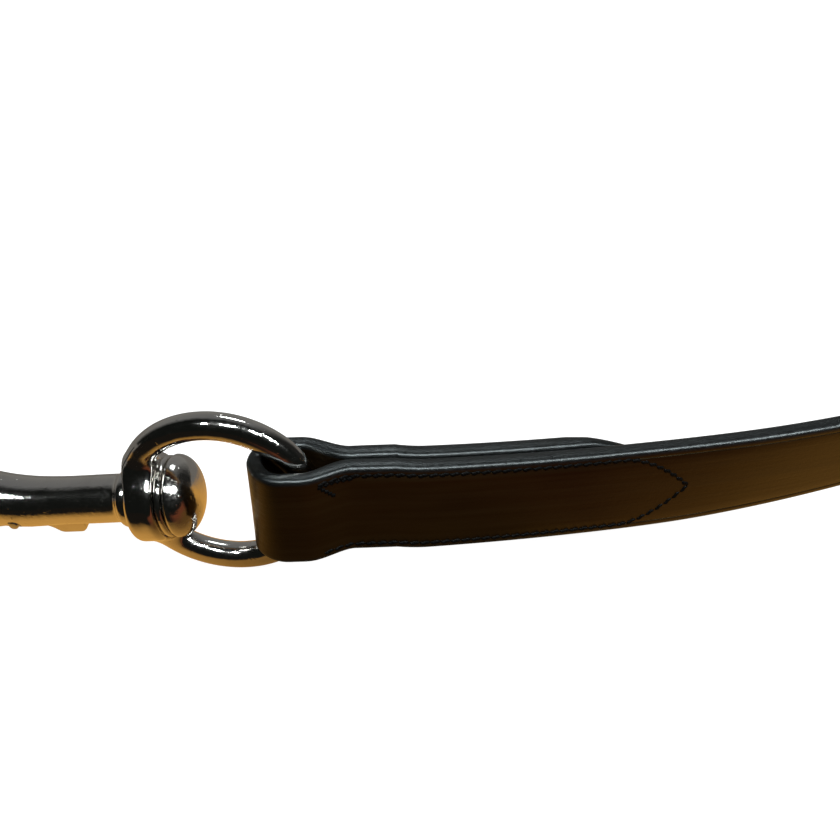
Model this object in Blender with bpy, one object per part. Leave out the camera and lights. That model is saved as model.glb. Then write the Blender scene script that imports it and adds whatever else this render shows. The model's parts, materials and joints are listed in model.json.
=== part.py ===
"""Running martingale attachment with a swivel trigger snap, modelled as separate pieces.

Everything stands on the plane z = 0 as it does on a table: the straps stand on edge, their
width along Z.  The snap is at -X, the straps run to +X and bend towards +Y.  Lengths are in
metres.  The design frame has the middle of the swivel eye over its origin; the root empty then
moves the whole part so that the middle of its footprint is the world's origin.
"""
import math

import bmesh
import bpy
import numpy as np
from mathutils import Vector

MM = 0.001
GAP = 0.3 * MM                    # play between two pieces that lie on each other

# straps
MAIN_WIDTH = 23.0 * MM            # snap strap and body strap
MAIN_THICK = 3.8 * MM
FORK_WIDTH = 16.0 * MM
FORK_THICK = 3.2 * MM
EDGE = 0.7 * MM                   # chamfer that stands for the rounded edge
TAIL_LENGTH = 68.0 * MM           # sewn overlap behind the swivel eye
TAIL_SKIVE = (38.0 * MM, 58.0 * MM)  # the overlap is pared down between these lengths
TAIL_THIN = 1.0 * MM
OVERLAP_POINT = 25.5 * MM          # length of the overlap's pointed end
TAIL_POINT = 15.0 * MM            # length of the pointed end
ARCH = 1.75                       # how full the sides of a pointed end are
OVERLAP_ARCH = 1.4
TAIL_TIP = 4.0 * MM
EYE_LOOP_START = -2.0 * MM        # start of the loop round the eye
EYE_LOOP = 20.7 * MM              # from there to the middle of the loop's nose
EYE_LOOP_GAP = 3.75 * MM          # half the clear width inside the loop, at full thickness
EYE_LOOP_THIN = 3.2 * MM          # the leather is pared where it goes round the eye
EYE_LOOP_PARTS = 6.9 * MM         # the two layers part at this length of the loop
EYE_LOOP_SHARE = 0.74             # share of the rest over which they open
LOOP_SHARE = 0.75                 # the same for the loops round the buckle and the fork rings

# swivel eye and the rivet that it turns on
EYE_RADIUS = 18.6 * MM            # middle of the wire
EYE_WIRE = 5.8 * MM
EYE_BASE_RADIUS = 9.4 * MM
EYE_BASE_FAR = 18.6 * MM          # base disc, measured from the middle of the eye
EYE_BASE_NEAR = 12.2 * MM
SNAP_PITCH = math.radians(8.0)    # the snap's nose hangs lower than the eye
SHANK_RADIUS = 2.4 * MM
DOME_RADIUS = 8.8 * MM
DOME_HEIGHT = 5.8 * MM
WASHER_RADIUS = 8.6 * MM
WASHER_THICK = 1.3 * MM

# hook
COLLAR = (                        # X and radius of the collar's sections, in mm
    (-18.9, 5.7), (-19.5, 6.3), (-20.9, 6.3), (-21.6, 5.8), (-22.6, 5.3),
)
HOOK_BENDS = (                    # X, Z and radius along the hook from its neck to its nose, in mm
    (-24.5, 0.0, 5.2), (-36.0, 0.0, 5.2), (-45.0, 0.4, 5.6), (-52.5, 2.6, 5.7), (-60.0, 8.2, 5.1),
    (-67.0, 13.4, 4.5), (-76.0, 15.3, 4.1), (-84.6, 12.4, 3.9), (-90.0, 6.0, 3.8),
    (-90.6, -0.6, 3.6), (-86.8, -5.2, 3.3), (-81.4, -6.6, 2.9),
)
SLOT_WIDTH = 5.4 * MM
SLOT_TOP = 2.3 * MM               # ceiling of the trigger's slot, above the snap's axis
LEVER_THICK = 2.6 * MM
PIN_AT = (-46.0 * MM, -2.0 * MM)  # trigger pin in the snap's own X and Z
PIN_RADIUS = 1.1 * MM

# fork rings
RING_RADIUS = 20.75 * MM
RING_WIRE = 4.5 * MM

# route of the main strap, seen from above
JOIN = (36.0 * MM, 2.5 * MM)      # start of the route, behind the eye
JOIN_HEADING = math.radians(8.0)
ROUTE = (                         # length of a stretch, heading at its end
    (7 * MM, math.radians(19.8)),
    (53 * MM, math.radians(19.0)),
    (46 * MM, math.radians(21.6)),
    (80 * MM, math.radians(60.0)),
    (234 * MM, math.radians(60.0)),
)
LIFT_END = 102 * MM               # the strap comes down from the eye to the table over this length
LIFT_DROP = 0.3 * MM              # and by this much already inside the loop
LIFT_LEVEL = 25 * MM
EYE_LEAN = math.radians(2.0)      # behind the eye the strap's top leans back by this
LEAN = math.radians(7.0)          # most that the strap's top leans over, in the bend
BUCKLE_AT = 213 * MM              # free bar of the buckle, along the route
BUCKLE_LONG = 30 * MM             # from bar to bar
BUCKLE_BAR = 2.0 * MM             # radius of the bars
BUCKLE_LIFT = 5.6 * MM            # straps are carried this high by the buckle
BILLET_END = 322 * MM
BODY_FOLD_END = 300 * MM
BODY_LOOP = 16 * MM               # from the buckle bar to where the fold's layers meet
BILLET_HOLES = (168 * MM, 194 * MM, 262 * MM, 288 * MM)
BODY_END = 405 * MM
CROTCH_AT = 365 * MM              # start of the fork straps
FORK_ROUTES = {
    "left": ((45 * MM, math.radians(60.0)), (40 * MM, math.radians(66.0)),
             (215 * MM, 0.0), (45 * MM, 0.0)),
    "right": ((45 * MM, math.radians(60.0)), (45 * MM, math.radians(46.0)),
              (150 * MM, 0.0), (105 * MM, 0.0)),
}
FORK_TAIL = 45 * MM
FORK_POINT = 12 * MM
FORK_LOOP = 14 * MM               # from where the layers meet to the ring's hinge line

LEATHER = ((0.035, 0.019, 0.007), 0.42, 0.0)
NICKEL = ((0.62, 0.60, 0.57), 0.12, 1.0)
STEEL = ((0.45, 0.45, 0.46), 0.30, 1.0)
BRASS = ((0.58, 0.42, 0.16), 0.25, 1.0)


# ---------------------------------------------------------------- general helpers

def clear_scene():
    for obj in list(bpy.data.objects):
        bpy.data.objects.remove(obj, do_unlink=True)


def make_material(name, finish):
    colour, roughness, metallic = finish
    material = bpy.data.materials.new(name)
    material.use_nodes = True
    shader = material.node_tree.nodes["Principled BSDF"]
    shader.inputs["Base Color"].default_value = (*colour, 1.0)
    shader.inputs["Roughness"].default_value = roughness
    shader.inputs["Metallic"].default_value = metallic
    return material


def add_object(name, verts, faces, finish, parent=None, smooth_angle=40.0):
    mesh = bpy.data.meshes.new(name)
    mesh.from_pydata([tuple(v) for v in verts], [], faces)
    tidy = bmesh.new()
    tidy.from_mesh(mesh)
    bmesh.ops.recalc_face_normals(tidy, faces=tidy.faces)
    tidy.to_mesh(mesh)
    tidy.free()
    mesh.shade_smooth()
    mesh.set_sharp_from_angle(angle=math.radians(smooth_angle))
    obj = bpy.data.objects.new(name, mesh)
    bpy.context.collection.objects.link(obj)
    if finish is not None:
        mesh.materials.append(make_material(name + "_finish", finish))
    obj.parent = parent
    return obj


def add_empty(name, location, parent=None, rotation=(0.0, 0.0, 0.0)):
    empty = bpy.data.objects.new(name, None)
    empty.location = location
    empty.rotation_euler = rotation
    empty.parent = parent
    bpy.context.collection.objects.link(empty)
    return empty


def loft(rings, closed=False):
    """Verts and faces of a skin over equal rings of points, capped unless it closes on itself."""
    count = len(rings[0])
    verts = [point for ring in rings for point in ring]
    faces = []
    steps = len(rings) if closed else len(rings) - 1
    for i in range(steps):
        a = i * count
        b = ((i + 1) % len(rings)) * count
        for k in range(count):
            k2 = (k + 1) % count
            faces.append((a + k, a + k2, b + k2, b + k))
    if not closed:
        faces.append(tuple(range(count)))
        faces.append(tuple(range(len(verts) - 1, len(verts) - 1 - count, -1)))
    return verts, faces


def tube_rings(centres, radii, side, count, closed=False):
    """Round sections along a flat path; side is the normal of the path's plane."""
    centres = [Vector(c) for c in centres]
    side = Vector(side).normalized()
    rings = []
    for i, centre in enumerate(centres):
        before = centres[i - 1] if (i > 0 or closed) else centre
        after = centres[(i + 1) % len(centres)] if (i < len(centres) - 1 or closed) else centre
        along = (after - before).normalized()
        across = along.cross(side).normalized()
        ring = []
        for k in range(count):
            angle = 2 * math.pi * k / count
            ring.append(centre + radii[i] * (math.cos(angle) * across + math.sin(angle) * side))
        rings.append(ring)
    return rings


def turned(profile, count):
    """Skin of a turned piece about X from a list of (x, radius)."""
    rings = []
    for x, radius in profile:
        ring = []
        for k in range(count):
            angle = 2 * math.pi * k / count
            ring.append(Vector((x, radius * math.cos(angle), radius * math.sin(angle))))
        rings.append(ring)
    return loft(rings)


def boolean(obj, cutter, operation="DIFFERENCE"):
    cutter.hide_render = True
    cutter.display_type = "WIRE"
    cutter.parent = obj.parent
    modifier = obj.modifiers.new(cutter.name, "BOOLEAN")
    modifier.operation = operation
    modifier.solver = "EXACT"
    modifier.object = cutter


def cutter_box(name, low, high):
    (x0, y0, z0), (x1, y1, z1) = low, high
    verts = [(x, y, z) for x in (x0, x1) for y in (y0, y1) for z in (z0, z1)]
    faces = [(0, 1, 3, 2), (4, 6, 7, 5), (0, 4, 5, 1), (2, 3, 7, 6), (0, 2, 6, 4), (1, 5, 7, 3)]
    return add_object(name, verts, faces, None)


def cutter_rod(name, start, end, radius, count=12):
    start = Vector(start)
    end = Vector(end)
    along = (end - start).normalized()
    side = along.orthogonal()
    return add_object(name, *loft(tube_rings([start, end], [radius, radius], side, count)), None)


# ---------------------------------------------------------------- routes and straps

def smooth_step(x):
    x = min(max(x, 0.0), 1.0)
    return x * x * (3 - 2 * x)


def ramp(s, start, end, low, high):
    return low + (high - low) * smooth_step((s - start) / (end - start))


class Route:
    """A line on the table made of stretches whose heading changes evenly."""

    def __init__(self, start, heading, stretches, step=1.0 * MM):
        xs, ys, headings = [start[0]], [start[1]], [heading]
        for length, end_heading in stretches:
            count = max(int(round(length / step)), 1)
            begin = headings[-1]
            for k in range(count):
                angle = begin + (end_heading - begin) * (k + 0.5) / count
                xs.append(xs[-1] + length / count * math.cos(angle))
                ys.append(ys[-1] + length / count * math.sin(angle))
                headings.append(begin + (end_heading - begin) * (k + 1) / count)
        self.x, self.y, self.heading = np.array(xs), np.array(ys), np.array(headings)
        steps = np.hypot(np.diff(self.x), np.diff(self.y))
        self.s = np.concatenate([[0.0], np.cumsum(steps)])
        self.length = float(self.s[-1])

    def angle(self, s):
        return float(np.interp(s, self.s, self.heading))

    def at(self, s, offset=0.0):
        """Point at length s, moved to the left by offset; s may run past both ends."""
        angle = self.angle(s)
        inside = min(max(s, 0.0), self.length)
        over = s - inside
        x = float(np.interp(inside, self.s, self.x)) + over * math.cos(angle)
        y = float(np.interp(inside, self.s, self.y)) + over * math.sin(angle)
        return (x - offset * math.sin(angle), y + offset * math.cos(angle))


def strap_rings(path, lifts, leans, widths, thicks):
    """Chamfered sections of a strap that stands on edge along a path of (x, y) points."""
    rings = []
    for i, (x, y) in enumerate(path):
        x0, y0 = path[max(i - 1, 0)]
        x1, y1 = path[min(i + 1, len(path) - 1)]
        heading = math.atan2(y1 - y0, x1 - x0)
        normal = Vector((-math.sin(heading), math.cos(heading), 0.0))
        up = Vector((0.0, 0.0, 1.0))
        lean = leans[i]
        half_t = thicks[i] / 2
        half_w = widths[i] / 2
        edge = min(EDGE, 0.6 * half_t)
        corners = [
            (half_t, half_w - edge), (half_t - edge, half_w),
            (-half_t + edge, half_w), (-half_t, half_w - edge),
            (-half_t, -half_w + edge), (-half_t + edge, -half_w),
            (half_t - edge, -half_w), (half_t, -half_w + edge),
        ]
        tilted_up = up * math.cos(lean) - normal * math.sin(lean)
        tilted_out = normal * math.cos(lean) + up * math.sin(lean)
        middle = Vector((x, y, 0.0))
        ring = [middle + tilted_out * u + tilted_up * v for u, v in corners]
        rise = Vector((0.0, 0.0, lifts[i] - min(point.z for point in ring)))
        rings.append([point + rise for point in ring])
    return rings


def loop_points(start, direction, length, half_gap, thick, parts=0.0, share=LOOP_SHARE, steps=7):
    """Middle line of a strap folded round a ring, from the right-hand layer to the left-hand one.

    Both layers leave start along direction and stay together until they part; from there they
    open over a share of the way to the middle of the round nose, which lies at length.
    """
    middle = Route(start, direction, ((length, direction),))
    narrow = (thick + GAP) / 2
    wide = half_gap + thick / 2
    opened = parts + share * (length - parts)
    stations = [length * k / steps for k in range(steps)]
    points = [middle.at(s, -ramp(s, parts, opened, narrow, wide)) for s in stations]
    nose = middle.at(length)
    for k in range(9):
        angle = direction + math.radians(-90 + 22.5 * k)
        points.append((nose[0] + wide * math.cos(angle), nose[1] + wide * math.sin(angle)))
    points += [middle.at(s, ramp(s, parts, opened, narrow, wide)) for s in reversed(stations)]
    return points


def spaced(start, end, step):
    count = max(int(round(abs(end - start) / step)), 1)
    return [start + (end - start) * k / count for k in range(count + 1)]


class Strap:
    """Stations along a strap's middle line."""

    def __init__(self, thick):
        self.thick = thick
        self.path, self.lifts, self.leans, self.widths, self.thicks = [], [], [], [], []

    def add(self, point, lift, width, full_width, lean=0.0, thick=None):
        """Adds a station; a narrower one is kept at the middle of the strap's full width."""
        self.path.append(point)
        self.lifts.append(lift + (full_width - width) / 2)
        self.leans.append(lean)
        self.widths.append(width)
        self.thicks.append(self.thick if thick is None else thick)

    def build(self, name, parent):
        rings = strap_rings(self.path, self.lifts, self.leans, self.widths, self.thicks)
        return add_object(name, *loft(rings), LEATHER, parent, 35.0)


# ---------------------------------------------------------------- heights of the main strap

def main_lift(s):
    """Height of the strap's lower edge above the table at length s of the route."""
    eye_height = EYE_RADIUS + EYE_WIRE / 2 - MAIN_WIDTH / 2
    at_eye = (eye_height - LIFT_DROP) * max(1 - s / LIFT_END, 0.0) ** 2
    if s <= 0:
        at_eye = eye_height - LIFT_DROP + LIFT_DROP * min(-s / LIFT_LEVEL, 1.0)
    at_buckle = ramp(s, 165 * MM, 205 * MM, 0.0, BUCKLE_LIFT)
    after_buckle = ramp(s, 316 * MM, 360 * MM, 0.0, BUCKLE_LIFT)
    return at_eye + at_buckle - after_buckle


def main_lean(s):
    """The strap's top leans towards -Y where it curves away from the snap."""
    at_bend = LEAN * (ramp(s, 62 * MM, 127 * MM, 0.0, 1.0) - ramp(s, 132 * MM, 180 * MM, 0.0, 1.0))
    return at_bend - ramp(s, 50 * MM, 88 * MM, EYE_LEAN, 0.0)


def billet_offset(s):
    """Sideways place of the snap strap: behind the free bar, then in front of the fold."""
    single = -(MAIN_THICK + GAP) / 2
    behind_bar = bar_offset() + BUCKLE_BAR + GAP + MAIN_THICK / 2 + 0.3 * MM
    before_fold = bar_offset() - fold_reach() - GAP - MAIN_THICK / 2 - 0.2 * MM
    on_body = -(MAIN_THICK + GAP)
    offset = ramp(s, 176 * MM, 209 * MM, single, behind_bar)
    offset += ramp(s, 215 * MM, 241 * MM, 0.0, before_fold - behind_bar)
    offset += ramp(s, 247 * MM, 268 * MM, 0.0, on_body - before_fold)
    return offset


def bar_offset():
    return (MAIN_THICK + GAP) / 2


def fold_reach():
    """Distance from the buckle bar's middle to the outside of the leather folded round it."""
    return BUCKLE_BAR + 0.5 * MM + MAIN_THICK


# ---------------------------------------------------------------- leather pieces

def tail_width(s, end, point=TAIL_POINT, arch=ARCH):
    """Width near a pointed end whose sides curve in like a pointed arch."""
    share = ramp_linear(s, end - point, end, 0.0, 1.0)
    return TAIL_TIP + (MAIN_WIDTH - TAIL_TIP) * (1 - share ** arch)


def ramp_linear(s, start, end, low, high):
    share = min(max((s - start) / (end - start), 0.0), 1.0)
    return low + (high - low) * share


def tail_thick(s):
    return ramp_linear(s, *TAIL_SKIVE, MAIN_THICK, TAIL_THIN)


def loop_lean(route, point):
    """Lean of the loop round the eye; the back layer's own sense is the other way round."""
    start = route.at(EYE_LOOP_START)
    heading = JOIN_HEADING + math.pi
    x, y = point[0] - start[0], point[1] - start[1]
    along = x * math.cos(heading) + y * math.sin(heading)
    across = y * math.cos(heading) - x * math.sin(heading)
    if across < 0:
        return ramp(along, 2 * MM, 14 * MM, EYE_LEAN, 0.0)
    return -ramp(across, 0.0, (MAIN_THICK + GAP) / 2, 0.0, EYE_LEAN)


def snap_strap(route, parent):
    """From the tip of the sewn overlap, round the eye and on to the tip of the billet."""
    strap = Strap(MAIN_THICK)
    shoulder = TAIL_LENGTH - OVERLAP_POINT
    for s in spaced(TAIL_LENGTH, shoulder, 5 * MM) + spaced(shoulder, 0.0, 6 * MM)[1:]:
        thick = tail_thick(s)
        point = route.at(s, (thick + GAP) / 2)
        strap.add(point, main_lift(s), tail_width(s, TAIL_LENGTH, OVERLAP_POINT, OVERLAP_ARCH), MAIN_WIDTH,
                  -main_lean(s), thick)
    nose = loop_points(route.at(EYE_LOOP_START), JOIN_HEADING + math.pi, EYE_LOOP, EYE_LOOP_GAP, MAIN_THICK,
                       EYE_LOOP_PARTS, EYE_LOOP_SHARE, 11)
    for k, point in enumerate(nose):
        share = 1 - abs(2 * k / (len(nose) - 1) - 1)
        lift = main_lift(-LIFT_LEVEL * min(share * 1.4, 1.0))
        thick = ramp(share, 0.22, 0.46, MAIN_THICK, EYE_LOOP_THIN)
        strap.add(point, lift, MAIN_WIDTH, MAIN_WIDTH, loop_lean(route, point), thick)
    front = spaced(0.0, 54 * MM, 4.5 * MM) + spaced(60 * MM, 176 * MM, 6 * MM)
    front += spaced(180 * MM, 268 * MM, 3.8 * MM) + spaced(276 * MM, BILLET_END - TAIL_POINT, 8 * MM)
    front += spaced(BILLET_END - TAIL_POINT, BILLET_END, 5 * MM)[1:]
    for s in front:
        point = route.at(s, billet_offset(s))
        strap.add(point, main_lift(s), tail_width(s, BILLET_END), MAIN_WIDTH, main_lean(s))
    leather = strap.build("snap_strap", parent)
    for k, s in enumerate(BILLET_HOLES):
        punch_hole(leather, route, s, billet_offset(s), "billet_hole_%d" % k)
    return leather


def punch_hole(strap, route, s, offset, name):
    near = route.at(s, offset - 2.2 * MAIN_THICK / 2)
    far = route.at(s, offset + 2.2 * MAIN_THICK / 2)
    height = main_lift(s) + MAIN_WIDTH / 2
    boolean(strap, cutter_rod(name, (*near, height), (*far, height), 1.9 * MM))


def body_strap(route, parent):
    """Folded round the buckle bar, its fold sewn down, and on to the fork."""
    strap = Strap(MAIN_THICK)
    bar = BUCKLE_AT + BUCKLE_LONG
    meet = bar + BODY_LOOP
    nose = loop_points(route.at(meet, bar_offset()), route.angle(meet) + math.pi, BODY_LOOP,
                       BUCKLE_BAR + 0.5 * MM, MAIN_THICK)
    for s in spaced(BODY_FOLD_END, meet + 4 * MM, 10 * MM):
        strap.add(route.at(s, MAIN_THICK + GAP), main_lift(s), tail_width(s, BODY_FOLD_END), MAIN_WIDTH)
    for point in nose:
        strap.add(point, main_lift(bar), MAIN_WIDTH, MAIN_WIDTH)
    for s in spaced(meet + 4 * MM, BODY_END, 8 * MM):
        strap.add(route.at(s), main_lift(s), MAIN_WIDTH, MAIN_WIDTH)
    return strap.build("body_strap", parent)


def fork_lift(s, length):
    start = (MAIN_WIDTH - FORK_WIDTH) / 2
    end = RING_RADIUS + RING_WIRE / 2 - FORK_WIDTH / 2
    return start - ramp(s, 50 * MM, 110 * MM, 0.0, start) + ramp(s, length - 110 * MM, length, 0.0, end)


def fork_strap(side, route, parent):
    """One arm of the fork and the place of its ring's hinge."""
    sign = 1 if side == "left" else -1
    offset = sign * (MAIN_THICK / 2 + GAP + FORK_THICK / 2)
    own = Route(route.at(CROTCH_AT, offset), route.angle(CROTCH_AT), FORK_ROUTES[side])
    length = own.length
    turn = own.angle(length)
    end = own.at(length, (FORK_THICK + GAP) / 2)
    strap = Strap(FORK_THICK)
    for s in spaced(0.0, length - 6 * MM, 7.5 * MM):
        strap.add(own.at(s), fork_lift(s, length), FORK_WIDTH, FORK_WIDTH)
    for point in loop_points(end, turn, FORK_LOOP, RING_WIRE / 2 + 1.2 * MM, FORK_THICK):
        strap.add(point, fork_lift(length, length), FORK_WIDTH, FORK_WIDTH)
    for s in spaced(length - 6 * MM, length - FORK_TAIL, 6.5 * MM):
        width = ramp_linear(length - s, FORK_TAIL - FORK_POINT, FORK_TAIL, FORK_WIDTH, TAIL_TIP)
        strap.add(own.at(s, FORK_THICK + GAP), fork_lift(s, length), width, FORK_WIDTH)
    leather = strap.build("fork_strap_" + side, parent)
    return leather, (end[0] + FORK_LOOP * math.cos(turn), end[1] + FORK_LOOP * math.sin(turn))


def keeper(name, route, s, width, parent):
    """Leather band round the three layers behind the buckle."""
    low = -(MAIN_THICK + GAP) - MAIN_THICK / 2 - GAP
    high = (MAIN_THICK + GAP) + MAIN_THICK / 2 + GAP
    wall = 1.8 * MM
    inner_h = MAIN_WIDTH / 2 + GAP
    middle = main_lift(s) + MAIN_WIDTH / 2
    holder = add_empty(name + "_place", (*route.at(s, 0.0), middle), parent, (0, 0, route.angle(s)))
    cut = 1.2 * MM
    outer = [(low - wall, inner_h), (low, inner_h + wall), (high, inner_h + wall), (high + wall, inner_h),
             (high + wall, -inner_h), (high, -inner_h - wall), (low, -inner_h - wall), (low - wall, -inner_h)]
    inner = [(low, inner_h - cut), (low + cut, inner_h), (high - cut, inner_h), (high, inner_h - cut),
             (high, -inner_h + cut), (high - cut, -inner_h), (low + cut, -inner_h), (low, -inner_h + cut)]
    loops = []
    for x, outline in ((-width / 2, outer), (width / 2, outer), (width / 2, inner), (-width / 2, inner)):
        loops.append([Vector((x, y, z)) for y, z in outline])
    return add_object(name, *loft(loops, closed=True), LEATHER, holder, 30.0)


# ---------------------------------------------------------------- metal pieces

def circle_path(radius, count, centre=(0.0, 0.0, 0.0)):
    points = []
    for k in range(count):
        angle = 2 * math.pi * k / count
        points.append((centre[0] + radius * math.cos(angle), centre[1], centre[2] + radius * math.sin(angle)))
    return points


def upright_ring(name, radius, wire, parent, count, sides, finish, centre=(0.0, 0.0, 0.0)):
    rings = tube_rings(circle_path(radius, count, centre), [wire / 2] * count, (0, 1, 0), sides, closed=True)
    return add_object(name, *loft(rings, closed=True), finish, parent)


def swivel_eye(parent, centre):
    """Round eye whose flat base turns on the rivet."""
    eye = upright_ring("swivel_eye", EYE_RADIUS, EYE_WIRE, parent, 44, 12, NICKEL, centre)
    far = -EYE_BASE_FAR
    near = -EYE_BASE_NEAR
    edge = 0.8 * MM
    disc = [(far + 0.02 * MM, EYE_BASE_RADIUS - edge), (far + edge, EYE_BASE_RADIUS),
            (near - edge, EYE_BASE_RADIUS), (near, EYE_BASE_RADIUS - edge)]
    base = add_object("eye_base_form", *turned(disc, 24), None)
    trim = cutter_box("eye_trim", (far - 8 * MM, -6 * MM, -16 * MM), (far, 6 * MM, 16 * MM))
    bore = cutter_rod("eye_bore", (far - 2 * MM, 0, 0), (near + 2 * MM, 0, 0), SHANK_RADIUS + GAP, 14)
    for form in (base, trim, bore):
        form.location = centre
    boolean(eye, base, "UNION")
    boolean(eye, trim)
    boolean(eye, bore)
    for form in (base, trim, bore):
        form.rotation_euler = (0.0, -SNAP_PITCH, 0.0)
    return eye


def swivel_rivet(parent):
    """Domed rivet: head inside the eye, shank through eye, washer and collar into the neck."""
    top = -(EYE_BASE_NEAR - GAP - WASHER_THICK - GAP)
    profile = [(-27 * MM, SHANK_RADIUS), (top, SHANK_RADIUS), (top, DOME_RADIUS - 0.7 * MM),
               (top + 0.7 * MM, DOME_RADIUS)]
    for k in range(1, 7):
        angle = math.radians(15 * k)
        x = top + 0.7 * MM + (DOME_HEIGHT - 0.7 * MM) * math.sin(angle)
        profile.append((x, max(DOME_RADIUS * math.cos(angle), 0.9 * MM)))
    return add_object("swivel_rivet", *turned(profile, 24), NICKEL, parent)


def swivel_washer(parent):
    far = -(EYE_BASE_NEAR - GAP)
    near = far + WASHER_THICK
    loops = []
    bore = SHANK_RADIUS + GAP
    for x, radius in ((far, bore), (far, WASHER_RADIUS), (near, WASHER_RADIUS), (near, bore)):
        ring = []
        for k in range(24):
            angle = 2 * math.pi * k / 24
            ring.append(Vector((x, radius * math.cos(angle), radius * math.sin(angle))))
        loops.append(ring)
    return add_object("swivel_washer", *loft(loops, closed=True), NICKEL, parent, 30.0)


def smooth_line(points, steps):
    """Catmull-Rom curve through points of any dimension, steps pieces to each span."""
    points = [np.array(p, dtype=float) for p in points]
    ends = [2 * points[0] - points[1]] + points + [2 * points[-1] - points[-2]]
    line = []
    for i in range(1, len(ends) - 2):
        a, b, c, d = ends[i - 1: i + 3]
        for k in range(steps):
            t = k / steps
            line.append(0.5 * (2 * b + (c - a) * t + (2 * a - 5 * b + 4 * c - d) * t ** 2
                               + (3 * b - a - 3 * c + d) * t ** 3))
    line.append(points[-1])
    return line


def hook_outline():
    """Middle line and radius of the hook from its neck to its nose, in the snap's X and Z."""
    return [((float(x) * MM, 0.0, float(z) * MM), float(r) * MM) for x, z, r in smooth_line(HOOK_BENDS, 3)]


def hook_body(parent):
    """Collar, neck and hook in one forging, slotted below for the trigger."""
    count = 16
    rings = [round_section(x * MM, 0.0, radius * MM, count) for x, radius in COLLAR]
    line = hook_outline()
    middles = [centre for centre, _ in line]
    radii = [radius for _, radius in line]
    rings += tube_rings(middles, radii, (0, 1, 0), count)
    hook = add_object("hook_body", *loft(rings), NICKEL, parent)
    boolean(hook, cutter_box("trigger_slot", (-59 * MM, -SLOT_WIDTH / 2, -9 * MM),
                             (-30.5 * MM, SLOT_WIDTH / 2, SLOT_TOP)))
    boolean(hook, cutter_rod("pin_bore", (PIN_AT[0], -9 * MM, PIN_AT[1]), (PIN_AT[0], 9 * MM, PIN_AT[1]),
                             PIN_RADIUS + GAP))
    boolean(hook, cutter_rod("rivet_bore", (-16 * MM, 0, 0), (-28 * MM, 0, 0), SHANK_RADIUS + GAP, 14))
    return hook


def round_section(x, z, radius, count):
    """Section across X whose points start like those of tube_rings on a path along -X."""
    ring = []
    for k in range(count):
        angle = 2 * math.pi * k / count
        ring.append(Vector((x, radius * math.sin(angle), z - radius * math.cos(angle))))
    return ring


def trigger_lever(parent):
    """Flat lever: gate to the hook's nose on one side of the pin, thumb tab on the other."""
    outline = [(6.5, 1.2), (10.5, 0.2), (13.2, -2.2), (13.4, -5.6), (12.4, -6.6), (7.4, -6.6),
               (5.6, -4.8), (2.0, -3.4), (-12.0, -4.6), (-24.0, -6.4), (-33.6, -7.3), (-34.4, -5.0),
               (-33.9, -2.6), (-24.0, -1.6), (-12.0, 0.6), (-4.0, 2.2), (2.0, 2.4)]
    half = LEVER_THICK / 2
    loops = [[Vector((x * MM, y, z * MM)) for x, z in outline] for y in (-half, half)]
    lever = add_object("trigger_lever", *loft(loops), NICKEL, parent, 30.0)
    bore = cutter_rod("lever_bore", (0, -5 * MM, 0), (0, 5 * MM, 0), PIN_RADIUS + GAP)
    boolean(lever, bore)
    bevel = lever.modifiers.new("rounded", "BEVEL")
    bevel.width = 0.35 * MM
    bevel.segments = 1
    bevel.limit_method = "ANGLE"
    return lever


def trigger_pin(parent):
    half = 5.3 * MM
    loops = tube_rings([(0, -half, 0), (0, half, 0)], [PIN_RADIUS] * 2, (1, 0, 0), 12)
    return add_object("trigger_pin", *loft(loops), STEEL, parent)


def trigger_spring(parent):
    """Torsion spring: one turn round the pin beside the lever and two legs."""
    wire = 0.3 * MM
    radius = 1.95 * MM
    start = LEVER_THICK / 2 + 0.3 * MM
    rise = 0.75 * MM
    count = 16
    points = [(6.0 * MM, start, 1.4 * MM)]
    for k in range(count + 1):
        angle = math.radians(60) - 2 * math.pi * k / count
        points.append((radius * math.cos(angle), start + rise * k / count, radius * math.sin(angle)))
    points.append((-6.0 * MM, start + rise, 2.3 * MM))
    return add_object("trigger_spring", *loft(coil_rings(points, wire, 6)), STEEL, parent)


def coil_rings(points, radius, sides):
    """Round sections of a wire whose path climbs along Y."""
    centres = [Vector(p) for p in points]
    rings = []
    for i, centre in enumerate(centres):
        along = (centres[min(i + 1, len(centres) - 1)] - centres[max(i - 1, 0)]).normalized()
        across = along.cross(Vector((0, 1, 0))).normalized()
        other = across.cross(along).normalized()
        ring = []
        for k in range(sides):
            angle = 2 * math.pi * k / sides
            ring.append(centre + radius * (math.cos(angle) * across + math.sin(angle) * other))
        rings.append(ring)
    return rings


def buckle_frame(holder):
    """Rectangular frame with round bars and rounded corners, upright beside the straps."""
    half_h = MAIN_WIDTH / 2 + 1.6 * MM + BUCKLE_BAR
    corner = 4.5 * MM
    corners = ((BUCKLE_LONG, half_h, 0), (0.0, half_h, 90), (0.0, -half_h, 180), (BUCKLE_LONG, -half_h, 270))
    points = []
    for cx, cz, first in corners:
        middle_x = cx - corner if cx > 0 else cx + corner
        middle_z = cz - corner if cz > 0 else cz + corner
        for k in range(4):
            angle = math.radians(first + 30 * k)
            points.append((middle_x + corner * math.cos(angle), 0.0, middle_z + corner * math.sin(angle)))
    rings = tube_rings(points, [BUCKLE_BAR] * len(points), (0, 1, 0), 10, closed=True)
    return add_object("buckle_frame", *loft(rings, closed=True), NICKEL, holder)


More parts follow.
